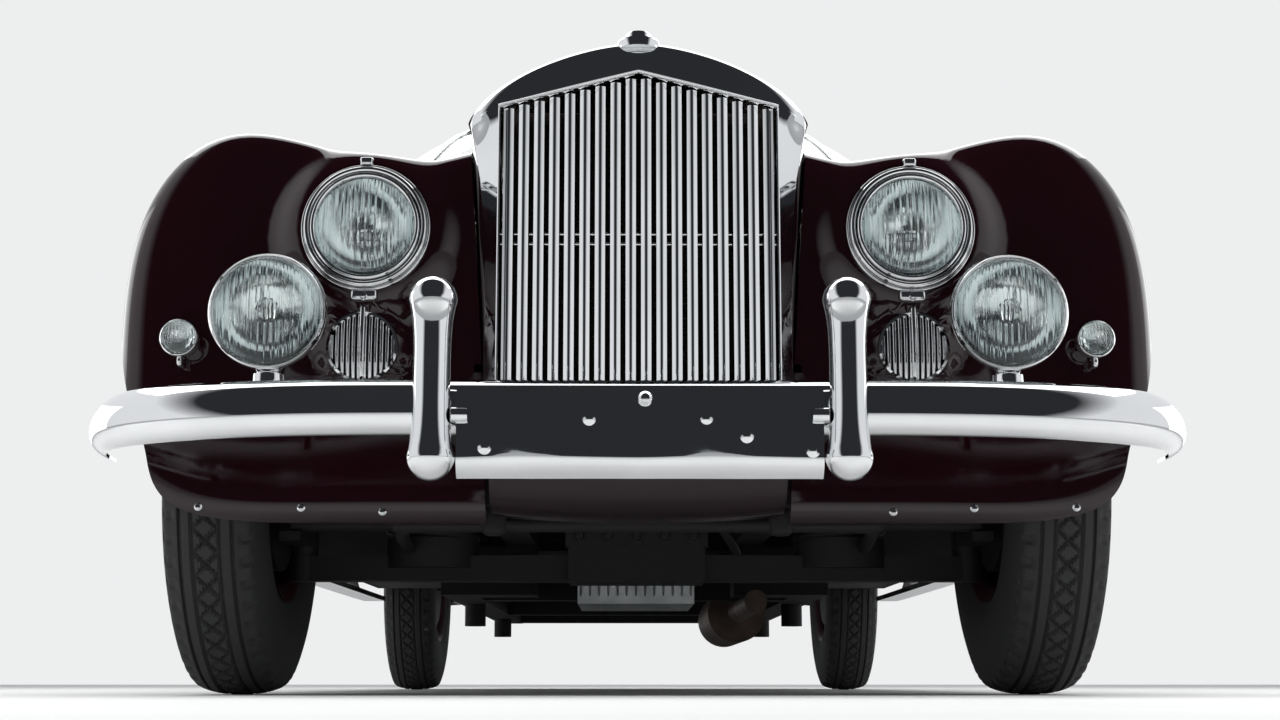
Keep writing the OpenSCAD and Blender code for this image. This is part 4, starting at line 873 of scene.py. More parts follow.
@dataclass
class Bodywork:
    """Painted panels and window glass, trimmed from the body's surfaces along the solids' outlines."""

    wall: float = 0.014
    door_wall: float = 0.030
    boot_wall: float = 0.018
    bonnet_wall: float = 0.012
    glass: float = 0.006
    glass_set: float = 0.004
    door_glass_set: float = 0.010
    gap: float = 0.005
    reveal: float = 0.0004
    shut_slant: float = 0.3
    door_r: float = 0.024
    window_r: float = 0.046
    quarter_r: float = 0.040
    screen_r: float = 0.060
    rear_window_r: float = 0.055
    arch_r: float = 0.430
    arch_x: float = 0.190
    axle_z: float = 0.3675
    hinge_x: float = 0.0083
    lug_x: float = 0.075
    lug_half: float = 0.020
    lug_reach: float = 0.024
    lug_wall: float = 0.008
    lining_wall: float = 0.004
    lining_edge: float = 0.012
    apron_sag: float = 0.012
    lamp_room: float = 0.008
    horn_room: float = 0.0003
    tail_from: float = 2.2
    front_shut: float = 0.309
    rear_shut: float = 0.694
    sill_top: float = 0.188
    screen_foot: float = 0.306
    boot_shares: tuple[float, float, float] = (0.36, 1.20, 1.79)
    door_shares: tuple = ((0.309, 0.188), (0.694, 0.188), (0.694, 0.538), (0.711, 0.662), (0.727, 0.955),
                          (0.604, 0.955), (0.333, 0.650), (0.317, 0.581), (0.309, 0.500))
    window_shares: tuple = ((0.396, 0.686), (0.6975, 0.686), (0.710, 0.924), (0.607, 0.924))
    quarter_shares: tuple = ((0.716, 0.688), (0.885, 0.688), (0.860, 0.780), (0.790, 0.895), (0.711, 0.928))
    apron_shares: tuple = ((-0.575, 0.2647), (-0.584, 0.250), (-0.580, 0.215), (-0.545, 0.186),
                           (-0.480, 0.178), (-0.430, 0.177))

    def __post_init__(self) -> None:
        """Works out the outlines in the side and front views."""
        self.door_line = rounded(self._side_points(self.door_shares), self.door_r)
        self.window_line = rounded(self._side_points(self.window_shares), self.window_r)
        self.quarter_line = rounded(self._side_points(self.quarter_shares), self.quarter_r)
        screen = [[-LINES.out(0.66), LINES.high(0.712)], [LINES.out(0.66), LINES.high(0.712)],
                  [LINES.out(0.50), LINES.high(0.925)], [-LINES.out(0.50), LINES.high(0.925)]]
        back = [[-LINES.out(0.40), LINES.high(0.800)], [LINES.out(0.40), LINES.high(0.800)],
                [LINES.out(0.40), LINES.high(0.915)], [-LINES.out(0.40), LINES.high(0.915)]]
        self.screen_line = rounded(np.array(screen), self.screen_r)
        self.back_line = rounded(np.array(back), self.rear_window_r)

    @staticmethod
    def _side_points(shares: Sequence[Sequence[float]]) -> Array:
        """Points of a side view outline from its shares."""
        return np.array([[LINES.along(a), LINES.high(h)] for a, h in shares])

    def side_field(self, line: Array, slant: float) -> Field:
        """Signed distance to a side view outline whose faces slope by slant, for either side of the car.

        Args:
            line: Outline in the side view.
            slant: Slope of the faces, along the car over across.

        Returns:
            The field.
        """
        def far(p: Array) -> Array:
            """Signed distance in the side view, with the places moved back by the slope."""
            y = p[:, 1] - slant * (np.abs(p[:, 0]) - LINES.out(1.0))
            return depth_in(np.stack([y, p[:, 2]], -1), line)
        return far

    @staticmethod
    def _facing(line: Array) -> Field:
        """Signed distance to an outline in the front view."""
        return lambda p: depth_in(p[:, [0, 2]], line)

    def _door_cut(self) -> Field:
        """Field that leaves what lies outside a door's shut line."""
        near = self.side_field(self.door_line, self.shut_slant)
        return lambda p: np.minimum(self.gap - near(p), np.abs(p[:, 0]) - self._door_inner(p))

    @staticmethod
    def _door_inner(p: Array) -> Array:
        """Innermost reach of a door: with the height it runs from the pillar in to the roof's rail."""
        return np.interp(p[:, 2], [LINES.high(0.80), LINES.high(0.90)], [LINES.out(0.62), LINES.out(0.40)])

    def _arch(self, y: float, top: float = 9.0) -> Field:
        """Field that leaves what lies outside a wheel arch, open below and cut off at a height top.

        Args:
            y: Place of the axle.
            top: Height above which nothing is cut.

        Returns:
            The field.
        """
        def keep(p: Array) -> Array:
            """Least of the distances into the arch."""
            far = np.where(p[:, 2] > self.axle_z, np.hypot(p[:, 1] - y, p[:, 2] - self.axle_z),
                           np.abs(p[:, 1] - y))
            return np.minimum(np.minimum(self.arch_r - far, p[:, 0] - self.arch_x), top - p[:, 2])
        return keep

    def _shell_room(self, p: Array) -> Array:
        """Field that leaves what lies outside the radiator shell."""
        beside, ahead = shell_half(p[:, 2]) + self.reveal - p[:, 0], SHELL_BACK + self.reveal - p[:, 1]
        return np.minimum(np.minimum(beside, ahead), p[:, 2] - SHELL_LOW + self.reveal)

    @staticmethod
    def _lamp_hole(at: Sequence[float], r: float) -> Field:
        """Field that leaves what lies outside a round hole along the car, in the nose only."""
        return lambda p: np.minimum(r - np.hypot(p[:, 0] - at[0], p[:, 2] - at[2]), LAMPS.front_y - p[:, 1])

    @staticmethod
    def _pods(grid: Array) -> Array:
        """Draws the wing forwards into a collar round each headlamp and a lip round each horn.

        Near a lamp the surface moves towards the rim's plane by a share that falls off with the distance.

        Args:
            grid: Points of the wing.

        Returns:
            The points with the collars drawn out.
        """
        out = grid.copy()
        for at, r, reach, rise in ((LAMPS.head, LAMPS.head_rim_r, LAMPS.pod_reach, -0.004),
                                   (LAMPS.horn, LAMPS.horn_r, 0.016, 0.004)):
            far = np.hypot(grid[..., 0] - at[0], grid[..., 2] - at[2])
            share = (1.0 - smooth_step(r, r + reach, far)) * (grid[..., 1] < LAMPS.front_y)
            out[..., 1] -= share * np.maximum(0.0, out[..., 1] - (at[1] - rise))
        return out

    def front_wings(self) -> None:
        """Front wings with their noses, arches, lamp collars and holes."""
        nose = LINES.side_at(LINES.along(-0.060))
        back = LINES.side_at(LINES.along(0.325))
        v = np.concatenate([np.linspace(0.0, nose, 90)[:-1], np.linspace(nose, back, 62)])
        grid = self._pods(LINES.side_grid(v, np.linspace(0.0, 1.0, 121)))
        start, floor = LINES.along(self.front_shut) - self.reveal, LINES.high(self.sill_top) + self.gap
        skin = Skin.of(grid).trimmed(
            self._shell_room, self._arch(LINES.front_axle), self._door_cut(),
            lambda p: np.minimum(p[:, 1] - start, floor - p[:, 2]),
            self._lamp_hole(LAMPS.head, LAMPS.head_lens_r + self.lamp_room),
            self._lamp_hole(LAMPS.horn, LAMPS.horn_r + self.horn_room))
        for side in Side:
            add_piece(f"front_wing_{side.word}_skin", skin.thick(self.wall).on(side), PAINT, "car",
                      [f"front_wing_{side.word}"])

    def rear_wings(self) -> None:
        """Rear wings to the middle of the tail, with half covered wheels."""
        grid = LINES.side_between(LINES.along(0.65), LINES.along(1.915), 90, 66)
        end, floor = LINES.along(self.rear_shut) + self.reveal, LINES.high(self.sill_top) + self.gap
        lamp, hole = LAMPS.tail, LAMPS.tail_r + self.reveal
        skin = Skin.of(grid).trimmed(
            self._door_cut(), lambda p: np.minimum(end - p[:, 1], floor - p[:, 2]),
            self._arch(LINES.rear_axle, LINES.high(0.33)), lambda p: self.reveal / 2 - p[:, 0],
            lambda p: np.minimum(hole - np.hypot(p[:, 0] - lamp[0], p[:, 2] - lamp[2]),
                                 p[:, 1] - self.tail_from))
        for side in Side:
            add_piece(f"rear_wing_{side.word}_skin", skin.thick(self.wall).on(side), PAINT, "car",
                      [f"rear_wing_{side.word}"])

    def sills(self) -> None:
        """Sills below the doors."""
        top = LINES.high(self.sill_top) - self.gap
        start, end = LINES.along(self.front_shut), LINES.along(self.rear_shut)
        skin = Skin.of(LINES.side_between(LINES.along(0.29), LINES.along(0.71), 24, 80)).trimmed(
            lambda p: p[:, 2] - top, lambda p: start - p[:, 1], lambda p: p[:, 1] - end)
        add_piece("sills_skin", skin.thick(self.wall).both(), PAINT, "car", ["sills"])

    def _whole_side(self, y0: float, y1: float, rows: int, columns: int, upper: int, w1: float) -> Array:
        """Grid of the body side with the top's side above it in one.

        Args:
            y0: First place along the car.
            y1: Last place.
            rows: Steps along the car.
            columns: Steps up the side.
            upper: Steps over the top's side.
            w1: Place across where the top's side ends.

        Returns:
            Grid of points.
        """
        low = LINES.side_between(y0, y1, rows, columns)
        over = LINES.top_points(low[:, 0, 1], np.linspace(0.0, w1, upper + 1)[1:])
        return np.concatenate([low, over], 1)

    def doors(self) -> None:
        """Doors with their window frames, and the glass in them."""
        grid = self._whole_side(LINES.along(0.28), LINES.along(0.72), 70, 48, 32, 0.74)
        inside = self.side_field(self.door_line, self.shut_slant)
        window = self.side_field(self.window_line, self.shut_slant)
        skin = Skin.of(grid).trimmed(inside, lambda p: self._door_inner(p) - p[:, 0], lambda p: -window(p))
        pane = Skin.of(LINES.top_between(LINES.along(0.33), LINES.along(0.71), 60, 40, 0.002, 0.74)).trimmed(
            lambda p: window(p) + self.reveal)
        for side in Side:
            body = f"door_{side.word}"
            add_piece(f"{body}_skin", skin.thick(self.door_wall).on(side), PAINT, body, [body])
            glass = pane.thick(self.glass, self.door_glass_set).on(side)
            add_piece(f"door_glass_{side.word}_pane", glass, GLASS, body, [f"door_glass_{side.word}"])

    def _boot(self, grow: float) -> tuple[float, float, float]:
        """Half width and both ends of the boot lid's outline, larger all round by grow."""
        across, upper, lower = self.boot_shares
        return LINES.out(across) + grow, LINES.along(upper) - grow, LINES.along(lower) + grow

    def roof(self) -> None:
        """Roof from the windscreen to the tail in one panel, with its windows cut, and the fixed glass."""
        quarter = self.side_field(self.quarter_line, 0.0)
        middle = LINES.along(0.62)
        ahead, behind = self._facing(self.screen_line), self._facing(self.back_line)
        x, y0, y1 = self._boot(self.gap)
        grid = LINES.top_between(LINES.along(self.screen_foot), LINES.along(1.911), 130, 100, 0.002, 1.998)
        skin = Skin.of(grid).trimmed(
            lambda p: np.minimum(-ahead(p), middle - p[:, 1]),
            lambda p: np.minimum(-behind(p), p[:, 1] - middle),
            lambda p: -quarter(p), self._door_cut(),
            lambda p: np.minimum(np.minimum(x - np.abs(p[:, 0]), p[:, 1] - y0), y1 - p[:, 1]))
        add_piece("roof_skin", skin.thick(self.wall), PAINT, "car", ["roof"])
        door, edge = self.side_field(self.door_line, self.shut_slant), self.lining_edge
        lining = Skin.of(LINES.top_between(LINES.along(0.45), LINES.along(0.95), 60, 60, 0.3, 1.7)).trimmed(
            lambda p: np.minimum(edge - ahead(p), middle - p[:, 1]),
            lambda p: np.minimum(edge - behind(p), p[:, 1] - middle), lambda p: edge - quarter(p),
            lambda p: np.minimum(0.03 - door(p), np.abs(p[:, 0]) - self._door_inner(p)))
        add_piece("roof_lining", lining.thick(self.lining_wall, self.wall + 0.001), LINING, "car")
        spans = ((self.screen_foot, 0.52, ahead, 0.25, 1.75), (0.85, 1.30, behind, 0.25, 1.75),
                 (0.68, 0.92, quarter, 0.002, 0.8))
        panes = []
        for a, b, line, w0, w1 in spans:
            pane = Skin.of(LINES.top_between(LINES.along(a), LINES.along(b), 40, 40, w0, w1))
            pane = pane.trimmed(lambda p: line(p) + self.reveal)
            panes.append(pane.thick(self.glass, self.glass_set))
        add_piece("fixed_glass_panes", panes[0] + panes[1] + panes[2].both(), GLASS, "car", ["fixed_glass"])

    def lids(self) -> None:
        """Bonnet leaves, scuttle and boot lid."""
        front, rear = LINES.along(-0.525), LINES.along(0.262)
        leaf = Skin.of(LINES.top_between(front, rear, 70, 60, 0.03, 1.0))
        leaf = leaf.trimmed(lambda p: self.hinge_x - p[:, 0])
        for side in Side:
            body = f"bonnet_{side.word}"
            add_piece(f"{body}_skin", leaf.thick(self.bonnet_wall).on(side), PAINT, body, [body])
        foot = LINES.along(self.screen_foot) - self.reveal
        scuttle = Skin.of(LINES.top_between(rear + self.gap, foot, 24, 100, 0.002, 1.998))
        scuttle = scuttle.trimmed(self._door_cut())
        add_piece("scuttle_skin", scuttle.thick(self.wall), PAINT, "car", ["scuttle"])
        x, y0, y1 = self._boot(0.0)
        lid = Skin.of(LINES.top_between(LINES.along(1.10), LINES.along(1.90), 70, 70, 0.3, 1.7))
        panel = lid.trimmed(lambda p: np.abs(p[:, 0]) - x, lambda p: y0 - p[:, 1], lambda p: p[:, 1] - y1)
        lug = lid.trimmed(lambda p: np.abs(np.abs(p[:, 0]) - self.lug_x) - self.lug_half,
                          lambda p: np.abs(p[:, 1] - y0) - self.lug_reach)
        shape = panel.thick(self.boot_wall) + lug.thick(self.lug_wall, self.wall + 2.0 * self.reveal)
        add_piece("boot_lid_skin", shape, PAINT, "boot_lid", ["boot_lid"])

    def apron(self) -> None:
        """Apron below the radiator: a spline profile whose lower edge sags to the middle."""
        line = held_spline(np.array([[LINES.along(a), LINES.high(h)] for a, h in self.apron_shares]),
                           np.linspace(0.0, 1.0, 41))
        x = np.linspace(1.0, -1.0, 61)[:, None]
        drop = self.apron_sag * (1.0 - x ** 2) * np.linspace(0.0, 1.0, 41)[None]
        y, z = line[None, :, 0], line[None, :, 1] - drop
        grid = np.stack(np.broadcast_arrays(x * LINES.out(0.255), y, z), -1)
        add_piece("front_apron_skin", Skin.of(grid).thick(self.wall), PAINT, "car", ["front_apron"])

    def window_beads(self) -> None:
        """Bright beads round the windows: a small round section along each outline, laid on the surface."""
        def beside(line: Array, slant: float) -> Array:
            """Points of a side outline on the top's surface, found by a few steps between place and width."""
            y, z = line[:, 0].copy(), line[:, 1]
            for _ in range(12):
                y = line[:, 0] + slant * (LINES.top_x(y, z) - LINES.out(1.0))
            return np.stack([LINES.top_x(y, z), y, z], -1)

        def across(line: Array, low: float, high: float) -> Array:
            """Points of a front view outline on the top's surface."""
            y = LINES.top_y_at(line[:, 0], line[:, 1], LINES.along(low), LINES.along(high))
            return np.stack([line[:, 0], y, line[:, 1]], -1)

        def dense(line: Array, count: int = 160) -> Array:
            """Outline with its points evenly spaced."""
            ring = np.concatenate([line, line[:1]])
            far = np.concatenate([[0.0], np.cumsum(np.linalg.norm(np.diff(ring, axis=0), axis=1))])
            at = np.linspace(0.0, far[-1], count, endpoint=False)
            return np.stack([np.interp(at, far, ring[:, k]) for k in range(2)], -1)

        bead = oval(0.012, 0.012, 2.6, 12)
        quarter = sweep(beside(dense(self.quarter_line), 0.0), bead, (1.0, 0.0, 0.3), True).both()
        screen = sweep(across(dense(self.screen_line), 0.25, 0.60), bead, (0.0, -1.0, 0.3), True)
        back = sweep(across(dense(self.back_line), 0.64, 1.45), bead, (0.0, 1.0, 0.3), True)
        add_piece("window_beads", quarter + screen + back, CHROME, "car")
        door = sweep(beside(dense(self.window_line), self.shut_slant), bead, (1.0, 0.0, 0.3), True)
        for side in Side:
            add_piece(f"door_window_bead_{side.word}", door.on(side), CHROME, f"door_{side.word}")

    def build(self) -> None:
        """Makes every panel and dresses it."""
        self.front_wings()
        self.rear_wings()
        self.sills()
        self.doors()
        self.roof()
        self.lids()
        self.apron()
        self.window_beads()


@dataclass
class RadiatorFront:
    """Bright radiator shell with its slats and their ties, and the horn grilles."""

    front: float = -2.2828
    back: float = SHELL_BACK
    low: float = SHELL_LOW
    shoulder: float = SHELL_SHOULDER
    top: float = 1.032
    half: float = 0.2675
    square: float = 1.62
    opening_half: float = 0.218
    opening_z: tuple[float, float, float] = (0.456, 0.9200, 0.9755)
    edge: float = 0.020
    face_power: float = 3.2
    face_slope: float = 1.4
    slats: int = 18
    slat_w: float = 0.0160
    slat_d: float = 0.030
    slat_set: float = 0.014
    web_half: float = 0.0022
    ridge: float = 0.31
    tie_shares: tuple[float, float] = (0.535, 0.57)
    tie_r: float = 0.0026
    horn_bars: int = 12
    horn_bow: float = 0.006

    def _outer(self, power: float = 4.0, count: int = 64) -> Array:
        """Outer outline in the front view: sides that flare to the shoulder, and a superelliptic crown.

        Args:
            power: Exponent of the flare.
            count: Points on each side.

        Returns:
            The points, from one foot over the crown to the other.
        """
        t = np.linspace(0.0, 1.0, count, endpoint=False)
        z = self.low + (self.shoulder - self.low) * t
        right = np.stack([shell_half(z, power), z], -1)
        a = np.linspace(0.0, np.pi, 2 * count + 1)
        c, s, e = np.cos(a), np.sin(a), 2.0 / self.square
        crown = np.stack([np.sign(c) * self.half * np.abs(c) ** e,
                          self.shoulder + (self.top - self.shoulder) * s ** e], -1)
        left = right[::-1] * (-1.0, 1.0)
        return np.concatenate([right, crown, left])

    def _opening(self, grow: float, count: int = 64) -> Array:
        """Opening's outline: straight sides and a roof-shaped top, point for point with the outer outline.

        Args:
            grow: Distance outside the opening.
            count: Points on each side.

        Returns:
            The points, in the same order.
        """
        half, (low, corner, peak) = self.opening_half + grow, self.opening_z
        t = np.linspace(0.0, 1.0, count, endpoint=False)
        right = np.stack([np.full(count, half), low - grow + (corner + grow - low) * t], -1)
        x = np.linspace(1.0, -1.0, 2 * count + 1)
        crown = np.stack([x * half, peak + grow + (corner - peak) * np.abs(x)], -1)
        left = right[::-1] * (-1.0, 1.0)
        return np.concatenate([right, crown, left])

    def gable(self, x: Array) -> Array:
        """Height of the opening's top at a distance from the middle."""
        return self.opening_z[2] + (self.opening_z[1] - self.opening_z[2]) * np.abs(x) / self.opening_half

    def build(self) -> None:
        """Makes the shell, whose face falls off by a power of the share outwards, and the grilles."""
        rings = [(self._opening(0.0), self.back), (self._opening(0.0), self.front + 0.008),
                 (self._opening(0.001), self.front + 0.003), (self._opening(0.003), self.front + 0.0008)]
        inner, outer = self._opening(0.004), self._outer()
        share = np.linspace(0.0, 1.0, 17)
        side = 1.0 - smooth_step(self.shoulder - 0.05, self.shoulder + 0.03, outer[:, 1])
        for s in share:
            fall = s ** self.face_power
            fall = fall + side * (self.face_slope * s - fall)
            rings.append((inner + (outer - inner) * s, self.front + self.edge * fall))
        rings.append((self._outer(1.0), self.back))
        grid = np.stack([np.stack([r[:, 0], np.broadcast_to(y, len(r)), r[:, 1]], -1) for r, y in rings])
        quads = lattice(len(rings), grid.shape[1], wrap_rows=True, wrap_cols=True)
        shape = Shape(grid.reshape(-1, 3), quads).outward()
        add_piece("radiator_shell_skin", shape, CHROME, "car", ["radiator_shell"], np.radians(50.0))
        add_piece("radiator_slats", self._slats() + self._horn().both(), CHROME, "car", ["grilles"])
        r = LAMPS.horn_r
        disc = [[0.0, -0.034], [r - 0.006, -0.034], [r - 0.006, -0.028], [0.0, -0.028]]
        add_piece("horn_backs", revolve(disc, LAMPS.horn, 48).both(), BLACK, "car")

    def _slats(self) -> Shape:
        """Slats and ties: a ridged face, a hyperbola in the section, on a thin web, along upright lines.

        Returns:
            The slats and ties.
        """
        pitch, half = 2.0 * self.opening_half / self.slats, self.slat_w / 2
        y, web = self.front + self.slat_set, self.web_half
        s = np.linspace(1.0, -1.0, 25)
        face = np.stack([s * self.slat_w / 2, (1.04 - np.sqrt(s * s + 0.05)) * self.slat_w * self.ridge], -1)
        stem = np.array([[-half, -0.003], [-web, -0.006], [-web, -self.slat_d],
                         [web, -self.slat_d], [web, -0.006], [half, -0.003]])
        section = np.concatenate([face, stem])
        low, corner = self.opening_z[:2]
        bars = []
        for i in range(self.slats):
            x = pitch * (i + 0.5) - self.opening_half
            top = self.gable(np.array(x)) - 0.003
            line = np.array([[x, y, low], [x, y, low + 0.25], [x, y, top]])
            bars.append(sweep(line, section, (0.0, -1.0, 0.0)))
        for share in self.tie_shares:
            z = low + share * (corner - low)
            ends = [[-self.opening_half, y + 0.020, z], [self.opening_half, y + 0.020, z]]
            bars.append(tube(ends, self.tie_r))
        return joined(bars)

    def _horn(self) -> Shape:
        """Horn grille: a ring, upright bars bowed by 1 - (z / r)^2 - (x / r)^2, and a broad middle bar.

        Returns:
            The grille on the left.
        """
        r, at = LAMPS.horn_r, LAMPS.horn
        parts = [revolve([[r - 0.006, -0.03], [r, -0.03], [r, 0.004], [r - 0.001, 0.007], [r - 0.005, 0.008],
                          [r - 0.006, 0.004]], at, 72, loop=True)]
        thin, broad = oval(0.0062, 0.008, 3.0, 14), oval(0.009, 0.010, 2.6, 14)
        for x in np.linspace(-1.0, 1.0, self.horn_bars) * (r - 0.009):
            reach = np.sqrt(max(0.0, (r - 0.0055) ** 2 - x * x))
            z = np.linspace(-reach, reach, 13)
            bow = at[1] + 0.001 - self.horn_bow * (1.0 - (z / r) ** 2 - (x / r) ** 2)
            line = np.stack([np.full(13, at[0] + x), bow, at[2] + z], -1)
            parts.append(sweep(line, thin, (0.0, -1.0, 0.0)))
        z = np.linspace(-r, r + 0.012, 17)
        bow = at[1] - 0.003 - self.horn_bow * (1.0 - np.minimum(1.0, (z / r) ** 2))
        line = np.stack([np.full(17, at[0]), bow, at[2] + z], -1)
        parts.append(sweep(line, broad, (0.0, -1.0, 0.0)))
        return joined(parts)


@dataclass
class Lamps:
    """Headlamps, driving lamps on posts, side lamps and tail lamps."""

    lens_dome: float = 0.020
    lens_wall: float = 0.004
    lens_steps: int = 160
    flute: float = 0.0008
    boss_rise: float = 0.010

    def _lens(self, at: Sequence[float], r: float, face: float, dome: float, flutes: int, rings: int = 40,
              boss: float = 0.0) -> Shape:
        """Domed glass with upright flutes: height = dome (1 - s^2) + flute cos(flutes x / r), and a boss.

        Args:
            at: Point on the lamp's axis.
            r: Radius of the glass.
            face: Distance of its edge ahead of that point.
            dome: Rise of its middle.
            flutes: Number of waves across a radius.
            rings: Steps from the middle to the edge.
            boss: Radius of a raised eye in the middle, or 0.

        Returns:
            The closed lens.
        """
        s = np.linspace(0.0, 1.0, rings + 1)[None]
        turn = np.arange(self.lens_steps)[:, None] * TURN / self.lens_steps
        x, z = s * np.cos(turn), s * np.sin(turn)
        rise = dome * (1.0 - s ** 2) + self.flute * np.cos(flutes * x * np.pi) * (1.0 - s ** 12)
        if boss:
            rise = rise + self.boss_rise * np.exp(-(s * r / boss) ** 4)
        x, z = at[0] + x * r, at[2] + z * r
        back = at[1] - face + self.lens_wall - dome * (1.0 - s ** 2)
        front = np.stack(np.broadcast_arrays(x, at[1] - face - rise, z), -1)
        rear = np.stack(np.broadcast_arrays(x, back, z), -1)
        grid = np.concatenate([front, rear[:, ::-5]], 1)
        return Shape(grid.reshape(-1, 3), lattice(self.lens_steps, grid.shape[1], wrap_rows=True)).outward()

    def headlamps(self) -> tuple[Shape, Shape, Shape]:
        """Stepped rim, reflector and lens of a headlamp.

        Returns:
            Bright pieces, reflector and glass on the left.
        """
        at, r, big = LAMPS.head, LAMPS.head_lens_r, LAMPS.head_rim_r
        a = np.linspace(np.pi, 0.0, 11)
        steps = ((r + 0.0022, 0.0042, 0.0160), (r + 0.0122, 0.0052, 0.0115), (big - 0.0024, 0.0024, 0.0040))
        rings = [np.stack([mid + half * np.cos(a), lift + half * 1.15 * np.sin(a)], -1)
                 for mid, half, lift in steps]
        back = [[big, -0.006], [big - 0.006, -0.010], [r + 0.004, -0.010], [r - 0.002, 0.006]]
        rim = revolve(np.concatenate(rings + [np.array(back)]), at, 96, loop=True)
        bowl = revolve([[r - 0.001, 0.008], [r * 0.86, -0.022], [r * 0.6, -0.048], [r * 0.25, -0.062],
                        [0.0, -0.064], [0.0, -0.067], [r * 0.25, -0.065], [r * 0.62, -0.051],
                        [r * 0.89, -0.024], [r + 0.002, 0.008]], at, 72)
        clip = pillow([at[0] - 0.011, at[1] - 0.016, at[2] + big - 0.003],
                      [at[0] + 0.011, at[1] + 0.020, at[2] + big + 0.011], 5, 14)
        foot = pillow([at[0] - 0.021, at[1] - 0.012, at[2] - big - 0.015],
                      [at[0] + 0.021, at[1] + 0.014, at[2] - big + 0.002], 5, 14)
        stud = revolve([[0.0, 0.006], [0.005, 0.005], [0.0065, 0.001], [0.0065, -0.004], [0.0, -0.004]],
                       (at[0], at[1] - 0.012, at[2] - big - 0.008), 18)
        bulb = revolve([[0.0, 0.004], [0.007, 0.002], [0.010, -0.010], [0.009, -0.022], [0.005, -0.040],
                        [0.005, -0.060], [0.0, -0.060]], at, 24)
        lens = self._lens(at, r - 0.002, 0.010, self.lens_dome, 15)
        return rim + clip + foot + stud, bowl + bulb, lens

    def driving_lamps(self) -> tuple[Shape, Shape, Shape]:
        """Thin rimmed bowl on a post, reflector and fluted lens of a driving lamp.

        Returns:
            Bright pieces, reflector and glass on the left.
        """
        at, big = LAMPS.driving, LAMPS.driving_r
        r = big - 0.008
        shell = revolve([[r - 0.002, 0.012], [r + 0.001, 0.020], [r + 0.004, 0.0225], [big - 0.001, 0.018],
                         [big, 0.010], [big - 0.002, 0.000], [big - 0.006, -0.012], [big * 0.80, -0.040],
                         [big * 0.45, -0.062], [0.0, -0.070], [0.0, -0.066], [big * 0.43, -0.058],
                         [big * 0.76, -0.037], [big - 0.010, -0.011], [r - 0.002, 0.004]], at, 96)
        foot = at[2] - big
        post = revolve([[0.0, 0.016], [0.020, 0.014], [0.022, 0.006], [0.019, 0.0], [0.024, -0.003],
                        [0.025, -0.018], [0.021, -0.022], [0.013, -0.024], [0.012, -0.085], [0.0, -0.085]],
                       (at[0], at[1] + 0.016, foot), 32, "up")
        bowl = revolve([[r - 0.001, 0.010], [r * 0.85, -0.014], [r * 0.5, -0.036], [0.0, -0.046],
                        [0.0, -0.048], [r * 0.5, -0.038], [r * 0.87, -0.016], [r + 0.001, 0.010]], at, 72)
        bulb = revolve([[0.0, 0.0], [0.008, -0.003], [0.011, -0.012], [0.006, -0.030], [0.006, -0.045],
                        [0.0, -0.045]], at, 24)
        return shell + post, bowl + bulb, self._lens(at, r - 0.001, 0.014, 0.007, 17, boss=0.014)

    def side_lamps(self) -> tuple[Shape, Shape, Shape]:
        """Small pod with a pointed tail, its reflector and a lens with rings.

        Returns:
            Bright pieces, reflector and glass on the left.
        """
        at, big = LAMPS.side, LAMPS.side_r
        r = big - 0.004
        pod = revolve([[r - 0.001, 0.010], [r + 0.001, 0.014], [big - 0.001, 0.012], [big, 0.006],
                       [big - 0.001, -0.004], [big * 0.90, -0.018], [big * 0.62, -0.044],
                       [big * 0.35, -0.075], [0.0, -0.080], [0.0, -0.012], [r - 0.001, -0.004]], at, 64)
        fin = pillow([at[0] - 0.005, at[1] - 0.004, at[2] - big - 0.014],
                     [at[0] + 0.005, at[1] + 0.022, at[2] - big + 0.006], 3, 12)
        bowl = revolve([[r - 0.0015, 0.006], [r * 0.6, -0.002], [0.0, -0.006], [0.0, -0.008],
                        [r * 0.6, -0.004], [r, 0.005]], at, 40)
        s = np.linspace(0.0, 1.0, 41)
        ripple = 0.0008 * np.cos(s * 7.0 * TURN)
        front = np.stack([s * (r - 0.001), 0.010 + 0.010 * (1.0 - s ** 2) + ripple * (1.0 - s ** 8)], -1)
        rear = np.stack([s * (r - 0.001), 0.006 + 0.009 * (1.0 - s ** 2)], -1)
        return pod + fin, bowl, revolve(np.concatenate([front, rear[::-1]]), at, 64)

    def tail_lamps(self) -> None:
        """Round tail lamps let into the rear wings: a bright can with a domed red glass."""
        r = LAMPS.tail_r
        can = revolve([[0.0, 0.030], [r, 0.030], [r, -0.010], [r - 0.001, -0.014], [r - 0.004, -0.016],
                       [r - 0.0065, -0.013], [r - 0.007, 0.004], [0.0, 0.004]], LAMPS.tail, 64)
        glass = revolve([[0.0, 0.002], [r - 0.0075, 0.002], [r - 0.0075, -0.012], [r * 0.68, -0.021],
                         [r * 0.34, -0.026], [0.0, -0.0275]], LAMPS.tail, 64)
        add_piece("tail_lamp_rims", can.both(), CHROME, "car")
        add_piece("tail_lamp_glass", glass.both(), RED_LENS, "car")

    def build(self) -> None:
        """Makes the lamps on both sides."""
        sets = [self.headlamps(), self.driving_lamps(), self.side_lamps()]
        shells, bowls, lenses = (joined([s[k] for s in sets]).both() for k in range(3))
        add_piece("lamp_rims", shells, CHROME, "car", ["lamp_shells"])
        add_piece("lamp_reflectors", bowls, REFLECTOR, "car")
        add_piece("lamp_glasses", lenses, LENS, "car", ["lamp_lenses"], np.radians(60.0))
        self.tail_lamps()


